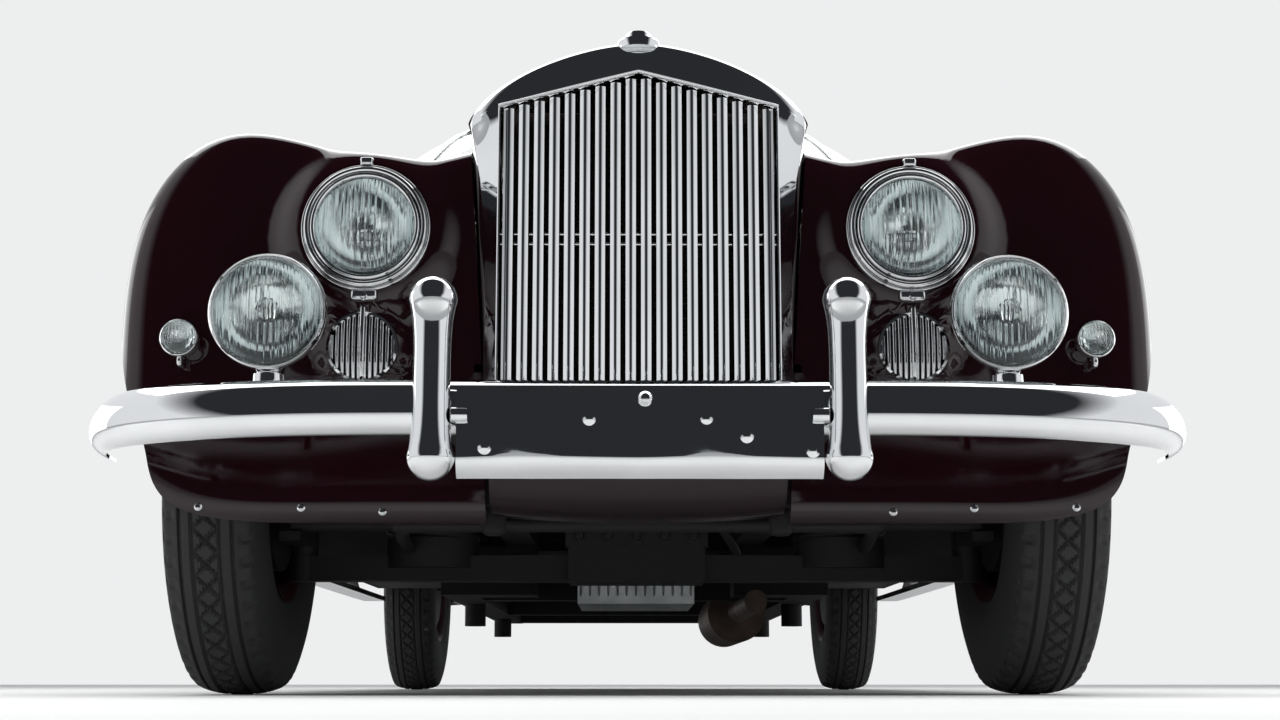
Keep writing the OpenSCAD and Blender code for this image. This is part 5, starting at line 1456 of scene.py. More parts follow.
@dataclass
class Bumpers:
    """Rolled bumper blades, overriders and the bare panel between the front ones."""

    front_path: tuple = ((0.0, -0.930, 0.76), (0.28, -0.930, 0.76), (0.50, -0.930, 0.77),
                         (0.68, -0.893, 0.79), (0.84, -0.815, 0.82), (0.92, -0.690, 0.82),
                         (0.932, -0.520, 0.78))
    rear_path: tuple = ((0.0, 1.955, 0.85), (0.28, 1.955, 0.85), (0.52, 1.955, 0.86), (0.71, 1.930, 0.90),
                        (0.87, 1.865, 0.95), (0.965, 1.750, 1.0), (0.985, 1.600, 0.95))
    front_z: float = 0.4032
    rear_z: float = 0.4192
    height: float = 0.108
    depth: float = 0.040
    wall: float = 0.005
    curl: float = 84.0
    skew: float = 14.0
    overrider_x: float = 0.288
    overrider_y: float = 2.5885
    front_post: tuple[float, float] = (0.3264, 0.5440)
    rear_post: tuple[float, float] = (0.328, 0.504)
    ball: float = 0.034
    waist: float = 0.026
    plate_half: float = 0.2536
    plate_z: tuple[float, float] = (0.2976, 0.4224)
    plate_y: float = -2.5898
    plate_wall: float = 0.0034
    plate_crown: float = 0.0016
    plate_curl: float = 0.020
    curl_share: float = 0.22
    plate_wave: float = 0.0011
    plate_bolts: tuple = ((-0.070, 0.378), (0.091, 0.378), (0.147, 0.354), (-0.214, 0.338), (0.238, 0.334))

    def _blade(self, path: Sequence[Sequence[float]], z: float, ahead: float) -> Shape:
        """Blade: an arc in the section, roundest below its middle, carried along a spline round the car.

        Args:
            path: Shares across and along the car, and of the blade's height, from the middle outwards.
            z: Height of its middle.
            ahead: 1 where it faces forwards, -1 backwards.

        Returns:
            The rolled sheet.
        """
        half = np.array([[LINES.out(a), LINES.along(b), h] for a, b, h in path])
        line = held_spline(np.concatenate([half[:0:-1] * (-1.0, 1.0, 1.0), half]), np.linspace(0.0, 1.0, 181))
        way = unit(np.gradient(line[:, :2], axis=0))
        out = np.stack([way[:, 1], -way[:, 0]], -1) * ahead
        a = np.radians(self.curl) * np.linspace(-1.0, 1.0, 31) * ahead
        back = self.depth * (np.cos(a + np.radians(self.skew)) - 1.0)
        grid = np.stack([line[:, None, 0] + out[:, None, 0] * back, line[:, None, 1] + out[:, None, 1] * back,
                         z + self.height / 2 * line[:, None, 2] * np.sin(a)], -1)
        return Skin.of(grid).thick(self.wall)

    def _overrider(self, y: float, low: float, high: float) -> Shape:
        """Post on an upright axis: a ball at each end, and between them a radius that falls to the waist.

        Args:
            y: Place along the car.
            low: Height of the lower ball's middle.
            high: Height of the upper ball's middle.

        Returns:
            The post on the left.
        """
        a = np.linspace(-np.pi / 2, 0.0, 13)
        foot = np.stack([self.ball * np.cos(a), low + self.ball * np.sin(a)], -1)
        t = np.linspace(-1.0, 1.0, 25)[1:-1]
        shank = np.stack([self.waist + (self.ball - self.waist) * t ** 4,
                          (low + high) / 2 + (high - low) / 2 * t], -1)
        head = np.stack([foot[::-1, 0], high + low - foot[::-1, 1]], -1)
        return revolve(np.concatenate([foot, shank, head]), (self.overrider_x, y, 0.0), 56, "up")

    def _plate(self) -> Shape:
        """Bare panel, a little crowned, with five bolt heads, a knob and the stubs that carry it.

        Returns:
            The panel with what is on it.
        """
        x, z = np.linspace(-1.0, 1.0, 61)[:, None], np.linspace(0.0, 1.0, 31)[None]
        y = self.plate_y + self.plate_crown * (x ** 2 + (2.0 * z - 1.0) ** 2)
        y = y + self.plate_curl * np.maximum(0.0, 1.0 - z / self.curl_share) ** 2
        y = y + self.plate_wave * np.sin(9.0 * x + 4.0 * z) * np.sin(5.0 * z - 3.0 * x)
        low, high = self.plate_z
        grid = np.stack(np.broadcast_arrays(x * self.plate_half, y, low + (high - low) * z), -1)
        shape = Skin.of(grid).thick(self.plate_wall)
        for at in self.plate_bolts:
            shape += revolve([[0.0, 0.0042], [0.004, 0.0038], [0.0065, 0.002], [0.0095, 0.0008],
                              [0.0095, -0.004], [0.0, -0.004]], (at[0], self.plate_y + 0.001, at[1]), 24)
        shape += revolve([[0.0, 0.012], [0.006, 0.0105], [0.0095, 0.006], [0.0075, 0.001], [0.0075, -0.006],
                          [0.0, -0.006]], (0.007, self.plate_y, 0.4065), 28)
        stub = revolve([[0.0, 0.0], [0.010, 0.0], [0.011, 0.004], [0.011, 0.022], [0.0, 0.022]],
                       (self.plate_half - 0.016, self.plate_y - 0.001, 0.383), 24, "left")
        return shape + stub.both()

    def build(self) -> None:
        """Makes the bumpers and what is bolted to them."""
        front = self._blade(self.front_path, self.front_z, 1.0)
        rear = self._blade(self.rear_path, self.rear_z, -1.0)
        add_piece("front_bumper_blade", front, CHROME, "car", ["front_bumper"])
        add_piece("rear_bumper_blade", rear, CHROME, "car", ["rear_bumper"])
        posts = self._overrider(-self.overrider_y, *self.front_post)
        posts += self._overrider(self.overrider_y, *self.rear_post)
        add_piece("overrider_posts", posts.both(), CHROME, "car", ["overriders"])
        add_piece("plate_panel_sheet", self._plate(), CHROME, "car", ["plate_panel"])


@dataclass
class Wheels:
    """Painted disc wheels with bright hub covers, and their tyres."""

    axle_z: float = 0.3675
    tyre_r: float = 0.3675
    rim_r: float = 0.203
    rim_half: float = 0.070
    band: float = 0.020
    groove: float = 0.0035
    depth: float = 0.006
    diamonds: int = 56
    tread_r: float = 0.345
    tread_half: float = 0.072
    outer_groove: float = 0.042
    scallops: float = 0.050
    places: tuple = (("front", 0.6975, 0.0), ("rear", 0.715, 1.0))

    def _section(self) -> Array:
        """Half round the tyre from the inner bead to the outer one: place across and radius.

        Returns:
            The section's points.
        """
        wall = held_spline(np.array([[0.070, 0.204], [0.077, 0.222], [0.082, 0.255], [0.0825, 0.295],
                                     [0.080, 0.325], [0.070, 0.3525]]), np.linspace(0.0, 1.0, 13))
        a = np.linspace(0.068, -0.068, 57)[1:-1]
        tread = np.stack([a, self.tyre_r - 0.013 * (np.abs(a) / 0.070) ** 2.6], -1)
        far = wall[::-1] * (-1.0, 1.0)
        return np.concatenate([wall, tread, far])

    def _tyre(self, at: Sequence[float]) -> Shape:
        """Tyre whose tread is cut by round grooves, a middle row of diamonds and scallops on the shoulders.

        The radius is the section's, less the depth where |a| is near a groove, where |u| + |a| is near one in
        the middle row (u runs from -1 to 1 over each diamond), and where the shoulder's wave is low.

        Args:
            at: Middle of the wheel.

        Returns:
            The closed tyre.
        """
        sec = self._section()
        a, r = sec[:, 0][None], sec[:, 1][None]
        steps = self.diamonds * 8
        turn = np.arange(steps)[:, None] * TURN / steps
        u = np.abs(2.0 * ((turn * self.diamonds / TURN) % 1.0) - 1.0)
        size = np.abs(a)
        tread = (r > self.tread_r) & (size < self.tread_half)
        cut = np.zeros((steps, sec.shape[0]))
        for place in (self.band + 0.002, self.outer_groove):
            away = np.abs(size - place)
            cut = np.maximum(cut, 1.0 - smooth_step(self.groove * 0.5, self.groove * 0.9, away))
        diamond = np.abs(u + size / self.band - 1.0)
        cut = np.maximum(cut, np.where(size < self.band, 1.0 - smooth_step(0.10, 0.24, diamond), 0.0))
        wave = smooth_step(0.45, 0.75, np.abs(np.sin(turn * self.diamonds / 2.0)))
        scallop = (1.0 - wave) * smooth_step(0.049, 0.058, size)
        cut = np.maximum(cut, np.where(size > self.scallops, scallop, 0.0))
        rad = r - self.depth * cut * tread
        y, z = at[1] + rad * np.cos(turn), at[2] + rad * np.sin(turn)
        points = np.stack(np.broadcast_arrays(at[0] + a, y, z), -1)
        quads = lattice(steps, sec.shape[0], wrap_rows=True, wrap_cols=True)
        return Shape(points.reshape(-1, 3), quads).outward()

    def _disc(self, at: Sequence[float]) -> tuple[Shape, Shape]:
        """Rim with its dished disc, and the bright cover and beading on it.

        Args:
            at: Middle of the wheel.

        Returns:
            The rim with its disc, and the bright cover.
        """
        r, w = self.rim_r, self.rim_half
        rim = revolve([[r + 0.006, w + 0.004], [r + 0.002, w + 0.007], [r - 0.004, w + 0.005],
                       [r - 0.008, w - 0.004], [r - 0.020, w - 0.018], [r - 0.026, 0.030],
                       [r - 0.036, 0.021], [0.152, 0.020], [0.136, 0.028], [0.120, 0.026], [0.033, 0.012],
                       [0.033, -0.010], [r - 0.030, -0.010], [r - 0.022, -w + 0.012], [r - 0.006, -w],
                       [r + 0.004, -w - 0.004], [r - 0.002, -w + 0.006], [r - 0.012, 0.0],
                       [r - 0.002, w - 0.006]], at, 72, "left", True)
        cover = revolve([[0.113, 0.022], [0.1145, 0.030], [0.112, 0.040], [0.106, 0.052], [0.092, 0.064],
                         [0.070, 0.073], [0.045, 0.079], [0.040, 0.083], [0.034, 0.0835], [0.018, 0.085],
                         [0.0, 0.0855], [0.0, 0.040], [0.100, 0.024]], at, 72, "left")
        bead = revolve([[0.196, w - 0.001], [0.190, w - 0.0085], [0.182, w - 0.012], [0.178, w - 0.020],
                        [0.182, w - 0.021], [0.192, w - 0.012], [0.199, w - 0.004]], at, 72, "left", True)
        return rim, cover + bead

    def build(self) -> None:
        """Makes the four wheels."""
        for end, x, share in self.places:
            at = (x, LINES.along(share), self.axle_z)
            tyre, (rim, cover) = self._tyre(at), self._disc(at)
            for side in Side:
                body = f"wheel_{end}_{side.word}"
                add_piece(f"tyre_{end}_{side.word}_tread", tyre.on(side), RUBBER, body,
                          [f"tyre_{end}_{side.word}"])
                add_piece(f"{body}_disc", rim.on(side), WHEEL_PAINT, body, [body])
                add_piece(f"{body}_cover", cover.on(side), CHROME, body)


@dataclass
class Underside:
    """Running gear below the car: dressed solids, with springs, clamps, bolts and hoses added."""

    spring_x: float = 0.365
    spring_r: float = 0.076
    wire: float = 0.0085
    coils: float = 3.5
    spring_z: tuple[float, float] = (0.262, 0.360)
    bar_x: float = 0.400
    bar_z: float = 0.2752
    clamp_x: float = 0.235

    def _springs(self) -> Shape:
        """Coil springs: a tube along a helix of three and a half turns.

        Returns:
            Both springs.
        """
        t = np.linspace(0.0, 1.0, 150)[:, None]
        y = LINES.along(0.0)
        a, (low, high) = t * self.coils * TURN, self.spring_z
        path = np.concatenate([self.spring_x + self.spring_r * np.cos(a), y + self.spring_r * np.sin(a),
                               low + (high - low) * t], 1)
        return sweep(path, circle(self.wire, 12)).both()

    def _roll_bar(self) -> Shape:
        """Anti-roll bar: a tube across the front that bends back to the arms, in two clamps.

        Returns:
            The bar with its clamps.
        """
        y, z = LINES.along(-0.35), self.bar_z
        bar = tube([[-self.bar_x, y + 0.30, z - 0.03], [-self.bar_x, y + 0.04, z],
                    [-self.bar_x + 0.03, y, z], [-0.2, y, z], [0.2, y, z], [self.bar_x - 0.03, y, z],
                    [self.bar_x, y + 0.04, z], [self.bar_x, y + 0.30, z - 0.03]], 0.0115, 16, 90)
        clamp = pillow([self.clamp_x - 0.020, y - 0.018, z - 0.018],
                       [self.clamp_x + 0.020, y + 0.018, z + 0.028], 4, 14)
        bolt = revolve([[0.0, 0.004], [0.007, 0.003], [0.008, 0.0], [0.008, -0.008], [0.0, -0.008]],
                       (self.clamp_x, y - 0.017, z + 0.012), 6)
        return bar + (clamp + bolt).both()

    def _pan_ribs(self) -> Shape:
        """Cooling ribs and bolted flange of the oil pan.

        Returns:
            The ribs, flange and bolts.
        """
        y0, y1 = LINES.along(0.040), LINES.along(0.160)
        ribs = [pillow([x - 0.0035, y0 - 0.004, 0.163], [x + 0.0035, y1 + 0.004, 0.30], 8, 10)
                for x in np.linspace(-0.102, 0.102, 13)]
        flange = pillow([-0.125, y0 - 0.014, 0.296], [0.125, y1 + 0.010, 0.310], 9, 16)
        bolts = [revolve([[0.0, 0.006], [0.006, 0.005], [0.0075, 0.0], [0.0075, -0.006], [0.0, -0.006]],
                         (x, y0 - 0.012, 0.303), 6) for x in np.linspace(-0.108, 0.108, 7)]
        return joined(ribs + [flange] + bolts)

    def _beam_bolts(self) -> Shape:
        """Bolted strap below the front cross-member, whose edge waves between its bolts.

        Returns:
            The strap and its bolts.
        """
        y = LINES.along(0.0) - 0.080
        x = np.linspace(-0.125, 0.125, 101)
        edge = 0.262 + 0.008 * np.cos(x * TURN / 0.05)
        flat, upper = np.full_like(x, y), np.full_like(x, 0.30)
        grid = np.stack([np.stack([x, flat, edge], -1), np.stack([x, flat, upper], -1)], 1)
        strap = Skin.of(grid).thick(0.005)
        bolts = [revolve([[0.0, 0.009], [0.007, 0.008], [0.0085, 0.002], [0.012, 0.0015], [0.012, -0.002],
                          [0.0, -0.002]], (v, y, 0.274), 18) for v in np.linspace(-0.10, 0.10, 5)]
        return joined([strap] + bolts)

    def _hoses(self) -> Shape:
        """Hoses from the frame to each front wheel's backplate and along the sump.

        Returns:
            The hoses.
        """
        y = LINES.along(0.0)
        brake = tube([[0.27, y - 0.09, 0.36], [0.33, y - 0.12, 0.33], [0.42, y - 0.11, 0.29],
                      [0.50, y - 0.06, 0.30], [0.535, y - 0.03, 0.33]], 0.007, 10, 40)
        feed = tube([[0.10, y - 0.20, 0.34], [0.16, y - 0.16, 0.26], [0.19, y + 0.02, 0.24],
                     [0.17, y + 0.25, 0.26]], 0.008, 10, 40)
        return brake.both() + feed

    def _shields(self) -> Shape:
        """Plain sheets inside the front wings: beside the engine, behind the wheel, and the bulkhead.

        Returns:
            The sheets.
        """
        y0, y1 = LINES.along(-0.30), LINES.along(0.185)
        beside = pillow([0.402, y0, 0.420], [0.406, y1, 0.860], 12, 12)
        behind = pillow([0.400, y1, 0.270], [0.840, y1 + 0.004, 0.800], 12, 12)
        wall = pillow([-0.600, LINES.along(0.250), 0.325], [0.600, LINES.along(0.250) + 0.004, 1.020], 12, 12)
        return (beside + behind).both() + wall

    def build(self) -> None:
        """Dresses the running gear and adds its details."""
        for node in ("chassis", "floor", "front_suspension", "rear_axle", "leaf_springs", "fuel_tank",
                     "jack_sockets", "knuckle_left", "knuckle_right", "track_rod"):
            dress(node, BLACK)
        dress("engine", ALLOY)
        dress("exhaust", EXHAUST)
        dress("radiator_core", CORE)
        add_piece("coil_springs", self._springs(), BLACK, "car")
        add_piece("anti_roll_bar", self._roll_bar(), BLACK, "car")
        add_piece("oil_pan_ribs", self._pan_ribs(), ALLOY, "car")
        add_piece("cross_member_strap", self._beam_bolts(), BLACK, "car")
        add_piece("front_hoses", self._hoses(), SEAL, "car")
        add_piece("splash_shields", self._shields(), BLACK, "car")


@dataclass
class Cabin:
    """Pleated hide seats, dials on the dashboard, carpets and door trims."""

    seat_x: float = 0.330
    seat_half: float = 0.250
    pleat: float = 0.062
    pleat_depth: float = 0.007
    crown: float = 0.018
    floor_z: float = 0.3212
    dial_y: float = -0.629
    dial_z: float = 0.972
    knob_z: float = 0.912

    def _pad(self, low: Sequence[float], high: Sequence[float], face: int, lean: float = 0.0) -> Shape:
        """Crowned pad with sewn channels: each point moves in by a share that is greatest at a channel.

        Args:
            low: Lowest corner.
            high: Highest corner.
            face: Axis that the sat-on face looks along, 2 for a cushion and 1 for a back.
            lean: Angle that a back leans by, about its lower rear edge.

        Returns:
            The padded shape.
        """
        low, high = np.asarray(low, float), np.asarray(high, float)
        pad = pillow(low, high, 5.0, 44)
        p = pad.points.copy()
        t = (p - (low + high) / 2) / ((high - low) / 2)
        other = 3 - face
        front = t[:, 2] > 0.3 if face == 2 else t[:, 1] < -0.2
        inner = 1.0 - smooth_step(0.68, 0.80, np.abs(t[:, 0]))
        inner = inner * (1.0 - smooth_step(0.66, 0.84, np.abs(t[:, other])))
        channel = 1.0 - np.abs(np.sin(np.pi * (p[:, 0] - low[0]) / self.pleat)) ** 0.5
        crown = self.crown * np.clip(1.0 - t[:, 0] ** 2, 0.0, 1.0) * np.clip(1.0 - t[:, other] ** 2, 0.0, 1.0)
        rise = np.where(front, crown - self.pleat_depth * channel * inner - self.crown, 0.0)
        p[:, face] += rise * (1.0 if face == 2 else -1.0)
        if lean:
            hinge = np.array([high[1], low[2]])
            y, z = p[:, 1] - hinge[0], p[:, 2] - hinge[1]
            p[:, 1] = hinge[0] + y * np.cos(lean) + z * np.sin(lean)
            p[:, 2] = hinge[1] - y * np.sin(lean) + z * np.cos(lean)
        return Shape(p, pad.quads, pad.tris)

    def seats(self) -> None:
        """Two front seats and a rear bench, each of a cushion and a back."""
        y0, y1 = LINES.along(0.470), LINES.along(0.620)
        x0, x1 = self.seat_x - self.seat_half, self.seat_x + self.seat_half
        cushion = self._pad([x0, y0, 0.400], [x1, y1 - 0.02, 0.560], 2)
        back = self._pad([x0 + 0.01, y1 - 0.110, 0.455], [x1 - 0.01, y1, 0.914], 1, np.radians(14.0))
        base = pillow([x0 + 0.03, y0 + 0.03, self.floor_z], [x1 - 0.03, y1 - 0.05, 0.41], 8, 16)
        bench = self._pad([-0.540, LINES.along(0.690), 0.440], [0.540, LINES.along(0.745), 0.560], 2)
        rest = self._pad([-0.540, LINES.along(0.806), 0.570], [0.540, LINES.along(0.842), 1.024], 1)
        plinth = pillow([-0.53, LINES.along(0.693), 0.436], [0.53, LINES.along(0.743), 0.46], 8, 12)
        add_piece("seat_plinths", base.both() + plinth, LEATHER, "car", ["seats"])
        for name, pad in (("front_cushions", cushion.both()), ("front_backs", back.both()),
                          ("rear_cushion", bench), ("rear_back", rest)):
            add_piece(f"seat_{name}", pad, HIDE_GRAIN, "car", angle=np.pi)

    def dials(self) -> None:
        """Round instruments with bright rims on the dashboard, and knobs below."""
        dress("dashboard", WOOD)
        dress("steering_wheel", PLASTIC)
        faces, rims = [], []
        for x, r in ((-0.42, 0.052), (-0.24, 0.052), (-0.10, 0.034), (0.0, 0.034), (0.10, 0.034)):
            at = (x, self.dial_y, self.dial_z)
            faces.append(revolve([[0.0, -0.004], [r, -0.004], [r, 0.004], [0.0, 0.004]], at, 40))
            rims.append(revolve([[r - 0.001, -0.003], [r, -0.009], [r + 0.005, -0.008], [r + 0.006, 0.003]],
                                at, 40, loop=True))
            needle = np.array([at, (x + 0.6 * r, self.dial_y, self.dial_z + 0.55 * r)]) + (0.0, 0.005, 0.0)
            rims.append(sweep(needle, circle(0.0012, 6)))
        for x in np.linspace(-0.12, 0.12, 5):
            rims.append(revolve([[0.0, -0.020], [0.008, -0.018], [0.009, -0.010], [0.004, -0.006],
                                 [0.004, 0.003], [0.0, 0.003]], (x, self.dial_y, self.knob_z), 20))
        add_piece("dial_faces", joined(faces), DIAL, "car")
        add_piece("dial_rims", joined(rims), CHROME, "car")

    def carpets(self) -> None:
        """Carpets on the floor beside the tunnel, wavy by a millimetre."""
        x = np.linspace(0.064, 0.72, 21)[:, None]
        y = np.linspace(LINES.along(0.262), LINES.along(0.790), 51)[None]
        z = self.floor_z + 0.006 + 0.001 * np.sin(x * 31.0) * np.cos(y * 23.0)
        grid = np.stack(np.broadcast_arrays(x, y, z), -1)
        add_piece("floor_carpets", Skin.of(grid).thick(0.005).both(), CARPET, "car")

    def door_trims(self, body: Bodywork) -> None:
        """Hide panels inside the doors, each with a pull.

        Args:
            body: Bodywork, for the doors' outlines.
        """
        inside = body.side_field(body.door_line, body.shut_slant)
        belt = LINES.high(0.675)
        grid = LINES.side_between(LINES.along(0.28), LINES.along(0.72), 60, 60)
        panel = Skin.of(grid).trimmed(lambda p: inside(p) + 0.030, lambda p: p[:, 2] - belt)
        panel = panel.thick(0.006, body.door_wall + body.reveal)
        pull = tube([[0.800, -0.10, 0.80], [0.770, -0.06, 0.805], [0.770, 0.08, 0.81], [0.800, 0.12, 0.81]],
                    0.009, 12, 40)
        for side in Side:
            add_piece(f"door_trim_{side.word}", panel.on(side), LEATHER, f"door_{side.word}")
            add_piece(f"door_pull_{side.word}", pull.on(side), CHROME, f"door_{side.word}")

    def build(self, body: Bodywork) -> None:
        """Makes the cabin's pieces."""
        self.seats()
        self.dials()
        self.carpets()
        self.door_trims(body)


@dataclass
class Trim:
    """Small bright pieces: handles, wipers, valance screws and the filler cap."""

    handle_z: float = 0.905
    wiper_z: float = 1.132
    cap_at: tuple[float, float, float] = (0.0, -2.2522, 1.032)

    def handles(self) -> None:
        """Door handles: an oval bar along a shallow bow, on two feet."""
        y0, y1 = LINES.along(0.655), LINES.along(0.612)
        t = np.linspace(0.0, 1.0, 31)
        y = y0 + (y1 - y0) * t
        on = LINES.side_between(y1 - 0.05, y0 + 0.05, 40, 160).reshape(-1, 3)
        near = on[np.argmin(np.hypot(on[:, 1] - (y0 + y1) / 2, on[:, 2] - self.handle_z))]
        bow = near[0] + 0.010 + 0.012 * np.sin(np.pi * t) ** 0.6
        bar = sweep(np.stack([bow, y, np.full(31, self.handle_z)], -1), oval(0.011, 0.018, 2.5, 16),
                    (0.0, 0.0, 1.0), size=1.0 - 0.25 * (2.0 * t - 1.0) ** 4)
        feet = [revolve([[0.0, 0.018], [0.010, 0.016], [0.013, 0.002], [0.013, -0.012], [0.0, -0.012]],
                        (near[0], v, self.handle_z), 20, "left") for v in (y0 - 0.012, y1 + 0.014)]
        for side in Side:
            add_piece(f"door_handle_{side.word}", joined([bar] + feet).on(side), CHROME, f"door_{side.word}")

    def wipers(self) -> None:
        """Two wiper arms with their blades, laid on the windscreen just above the scuttle."""
        shapes = []
        screen = LINES.along(0.25), LINES.along(0.60)
        for x0, x1 in ((-0.30, 0.06), (0.10, 0.44)):
            x = np.linspace(x0, x1, 25)
            z = 1.150 + 0.020 * np.linspace(0.0, 1.0, 25)
            y = LINES.top_y_at(np.abs(x), z, *screen) - 0.010
            shapes.append(sweep(np.stack([x, y, z], -1), oval(0.006, 0.012, 2.0, 10)))
            foot_y = LINES.top_y_at(np.array([abs(x0)]), np.array([self.wiper_z]), *screen)[0] - 0.004
            foot = np.array([x0, foot_y, self.wiper_z])
            arm = [foot, foot + (0.02, -0.012, 0.008), [x[12], y[12] - 0.008, z[12]]]
            shapes.append(tube(arm, 0.004, 10, 20))
            shapes.append(revolve([[0.0, 0.012], [0.010, 0.010], [0.012, -0.006], [0.0, -0.006]], foot, 20))
        add_piece("wipers", joined(shapes), CHROME, "car")

    def cap(self) -> None:
        """Plain filler cap on the radiator's crown: a ringed base with a domed top."""
        line = [[0.0, -0.010], [0.0345, -0.010], [0.0345, 0.0005], [0.0325, 0.005], [0.0225, 0.0072],
                [0.0205, 0.010], [0.0205, 0.015], [0.018, 0.0185], [0.010, 0.0202], [0.0, 0.0206]]
        add_piece("filler_cap", revolve(line, self.cap_at, 48, "up"), CHROME, "car")

    def valance_screws(self) -> None:
        """Bright screws along the lower edge of the front wings, and the finish of the bonnet's hinge."""
        heads = []
        on = LINES.side_grid(np.linspace(0.02, 0.3, 160), np.linspace(0.0, 0.4, 120)).reshape(-1, 3)
        on = on[on[:, 1] < -2.1]
        for x, z in ((0.400, 0.285), (0.526, 0.289), (0.690, 0.292)):
            near = on[np.argmin(np.hypot(on[:, 0] - x, on[:, 2] - z))]
            heads.append(revolve([[0.0, 0.004], [0.004, 0.0035], [0.0065, 0.001], [0.0065, -0.006],
                                  [0.0, -0.006]], near, 20))
        add_piece("valance_screws", joined(heads).both(), CHROME, "car")
        dress("bonnet_hinge", CHROME)

    def build(self) -> None:
        """Makes the trim."""
        self.handles()
        self.wipers()
        self.cap()
        self.valance_screws()


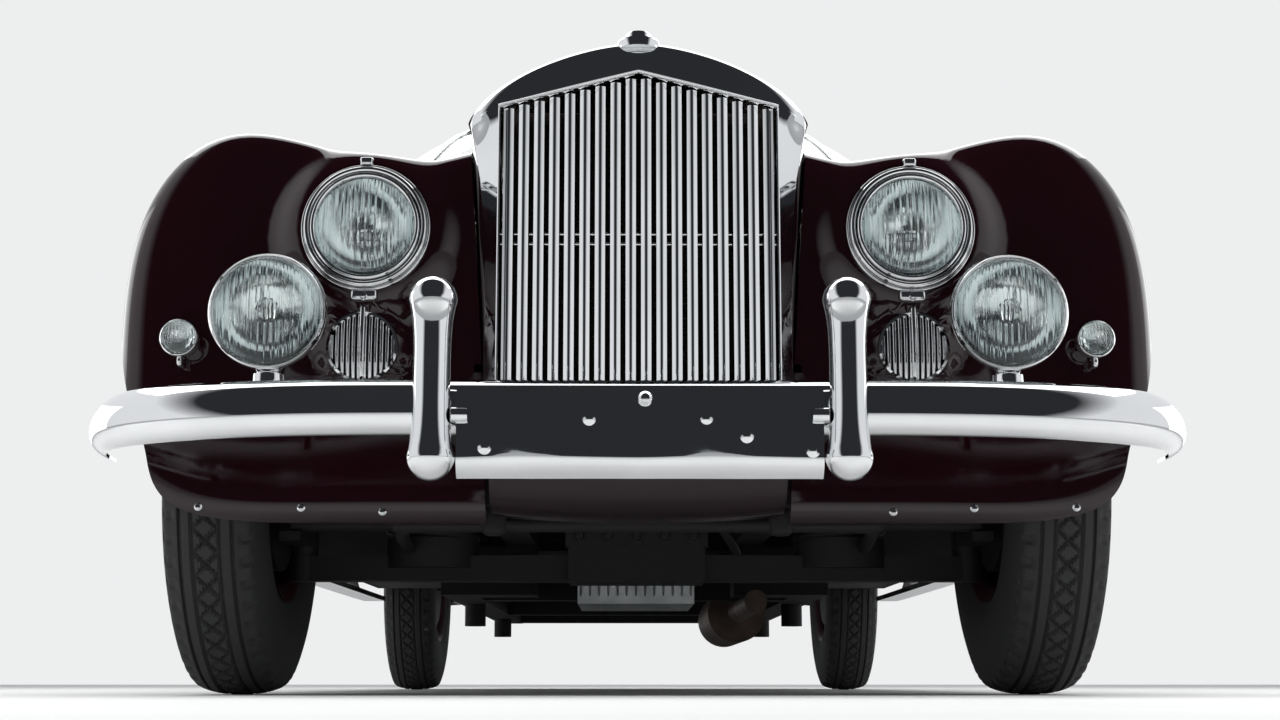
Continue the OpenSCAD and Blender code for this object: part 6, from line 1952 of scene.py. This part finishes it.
@dataclass
class Stage:
    """Pale floor, soft lights and the camera of the photograph."""

    camera_at: tuple[float, float, float] = (-0.0215, -5.1825, 0.018)
    tilt: float = 9.68
    turn: float = -0.47
    lens: float = 53.44
    floor_half: float = 60.0
    gloss_span: tuple[float, float] = (0.02, 0.32)
    gloss_ahead: float = 0.75
    through: float = 0.3
    gloss_above: float = -0.60
    gloss_dark: tuple = (0.026, 0.028, 0.031, 1.0)
    gloss_pale: tuple = (0.86, 0.87, 0.89, 1.0)
    ambient: tuple = (0.95, 0.97, 1.0, 1.0)
    ambient_strength: float = 0.55
    backdrop: tuple = (0.85, 0.855, 0.86, 1.0)
    lights: tuple = (("overhead", (0.0, -1.0, 4.6), (0.0, 0.0, 0.0), (5.0, 5.0), 205.0, False),
                     ("left_box", (4.6, -3.4, 2.2), (0.0, 76.0, 0.0), (2.6, 2.6), 60.0, False),
                     ("right_box", (-4.6, -3.4, 2.2), (0.0, -76.0, 0.0), (2.6, 2.6), 60.0, False),
                     ("crest_box", (0.0, 3.2, 4.0), (0.0, 0.0, 0.0), (7.0, 9.2), 420.0, True),
                     ("left_screen", (5.6, 3.2, 1.9), (0.0, 90.0, 0.0), (3.4, 8.0), 110.0, True),
                     ("right_screen", (-5.6, 3.2, 1.9), (0.0, -90.0, 0.0), (3.4, 8.0), 110.0, True))

    def camera(self) -> None:
        """Camera at the floor, tilted up."""
        data = bpy.data.cameras.new("photo_camera")
        data.lens, data.sensor_width, data.clip_start = self.lens, 36.0, 0.01
        made = bpy.data.objects.new("photo_camera", data)
        made.location = self.camera_at
        made.rotation_euler = (np.radians(90.0 + self.tilt), 0.0, np.radians(self.turn))
        bpy.context.scene.collection.objects.link(made)
        bpy.context.scene.camera = made

    def lamps(self) -> None:
        """Soft boxes above and beside the car that light it, and wide ones that only gloss mirrors."""
        for name, at, turn, size, power, mirrored in self.lights:
            data = bpy.data.lights.new(name, "AREA")
            data.shape, data.energy = "RECTANGLE", power
            data.size, data.size_y = size
            made = bpy.data.objects.new(name, data)
            made.location, made.rotation_euler = at, np.radians(turn)
            made.visible_glossy, made.visible_diffuse = mirrored, not mirrored
            bpy.context.scene.collection.objects.link(made)

    def floor(self) -> None:
        """Wide pale floor with a faint mottle."""
        n = 9
        x, y = np.meshgrid(np.linspace(-1.0, 1.0, n), np.linspace(-1.0, 1.0, n), indexing="ij")
        points = np.stack([x, y, np.zeros_like(x)], -1).reshape(-1, 3) * self.floor_half
        mesh = bpy.data.meshes.new("studio_floor")
        mesh.from_pydata(points.tolist(), [], lattice(n, n).tolist())
        mesh.materials.append(FLOOR.material())
        made = bpy.data.objects.new("studio_floor", mesh)
        bpy.context.scene.collection.objects.link(made)

    def world(self) -> None:
        """Pale surroundings for the camera; for gloss and glass dark behind it and pale elsewhere."""
        world = bpy.data.worlds.new("studio")
        bpy.context.scene.world = world
        world.use_nodes = True
        tree = world.node_tree
        new, link = tree.nodes.new, tree.links.new
        place, split = new("ShaderNodeTexCoord"), new("ShaderNodeSeparateXYZ")
        link(place.outputs["Generated"], split.inputs["Vector"])
        ramp = new("ShaderNodeValToRGB")
        ramp.color_ramp.elements[0].position, ramp.color_ramp.elements[1].position = self.gloss_span
        ramp.color_ramp.elements[0].color = self.gloss_dark
        ramp.color_ramp.elements[1].color = self.gloss_pale
        across = new("ShaderNodeMath")
        across.operation = "ABSOLUTE"
        link(split.outputs["X"], across.inputs[0])
        fac = across.outputs["Value"]
        for axis, weight in (("Y", self.gloss_ahead), ("Z", self.gloss_above)):
            step = new("ShaderNodeMath")
            step.operation = "MULTIPLY_ADD"
            step.inputs[1].default_value = weight
            link(split.outputs[axis], step.inputs[0])
            link(fac, step.inputs[2])
            fac = step.outputs["Value"]
        link(fac, ramp.inputs["Fac"])
        path = new("ShaderNodeLightPath")
        mirrored = new("ShaderNodeMath")
        mirrored.operation = "MAXIMUM"
        link(path.outputs["Is Glossy Ray"], mirrored.inputs[0])
        through = new("ShaderNodeMath")
        through.operation = "MULTIPLY"
        through.inputs[1].default_value = self.through
        link(path.outputs["Is Transmission Ray"], through.inputs[0])
        link(through.outputs["Value"], mirrored.inputs[1])
        gloss, plain, pale = (new("ShaderNodeBackground") for _ in range(3))
        link(ramp.outputs["Color"], gloss.inputs["Color"])
        plain.inputs["Color"].default_value = self.ambient
        plain.inputs["Strength"].default_value = self.ambient_strength
        pale.inputs["Color"].default_value = self.backdrop
        first, last = new("ShaderNodeMixShader"), new("ShaderNodeMixShader")
        link(mirrored.outputs["Value"], first.inputs["Fac"])
        link(plain.outputs[0], first.inputs[1])
        link(gloss.outputs[0], first.inputs[2])
        link(path.outputs["Is Camera Ray"], last.inputs["Fac"])
        link(first.outputs[0], last.inputs[1])
        link(pale.outputs[0], last.inputs[2])
        link(last.outputs[0], tree.nodes["World Output"].inputs["Surface"])

    def build(self) -> None:
        """Sets the stage."""
        bpy.context.scene.view_settings.view_transform = "Standard"
        self.camera()
        self.lamps()
        self.floor()
        self.world()


def main() -> None:
    """Builds the stage, then the car's classes in order."""
    logging.basicConfig(level=logging.INFO, format="%(name)s: %(message)s")
    Stage().build()
    body = Bodywork()
    body.build()
    RadiatorFront().build()
    Lamps().build()
    Bumpers().build()
    Wheels().build()
    Underside().build()
    Cabin().build(body)
    Trim().build()


if __name__ == "__main__":
    main()
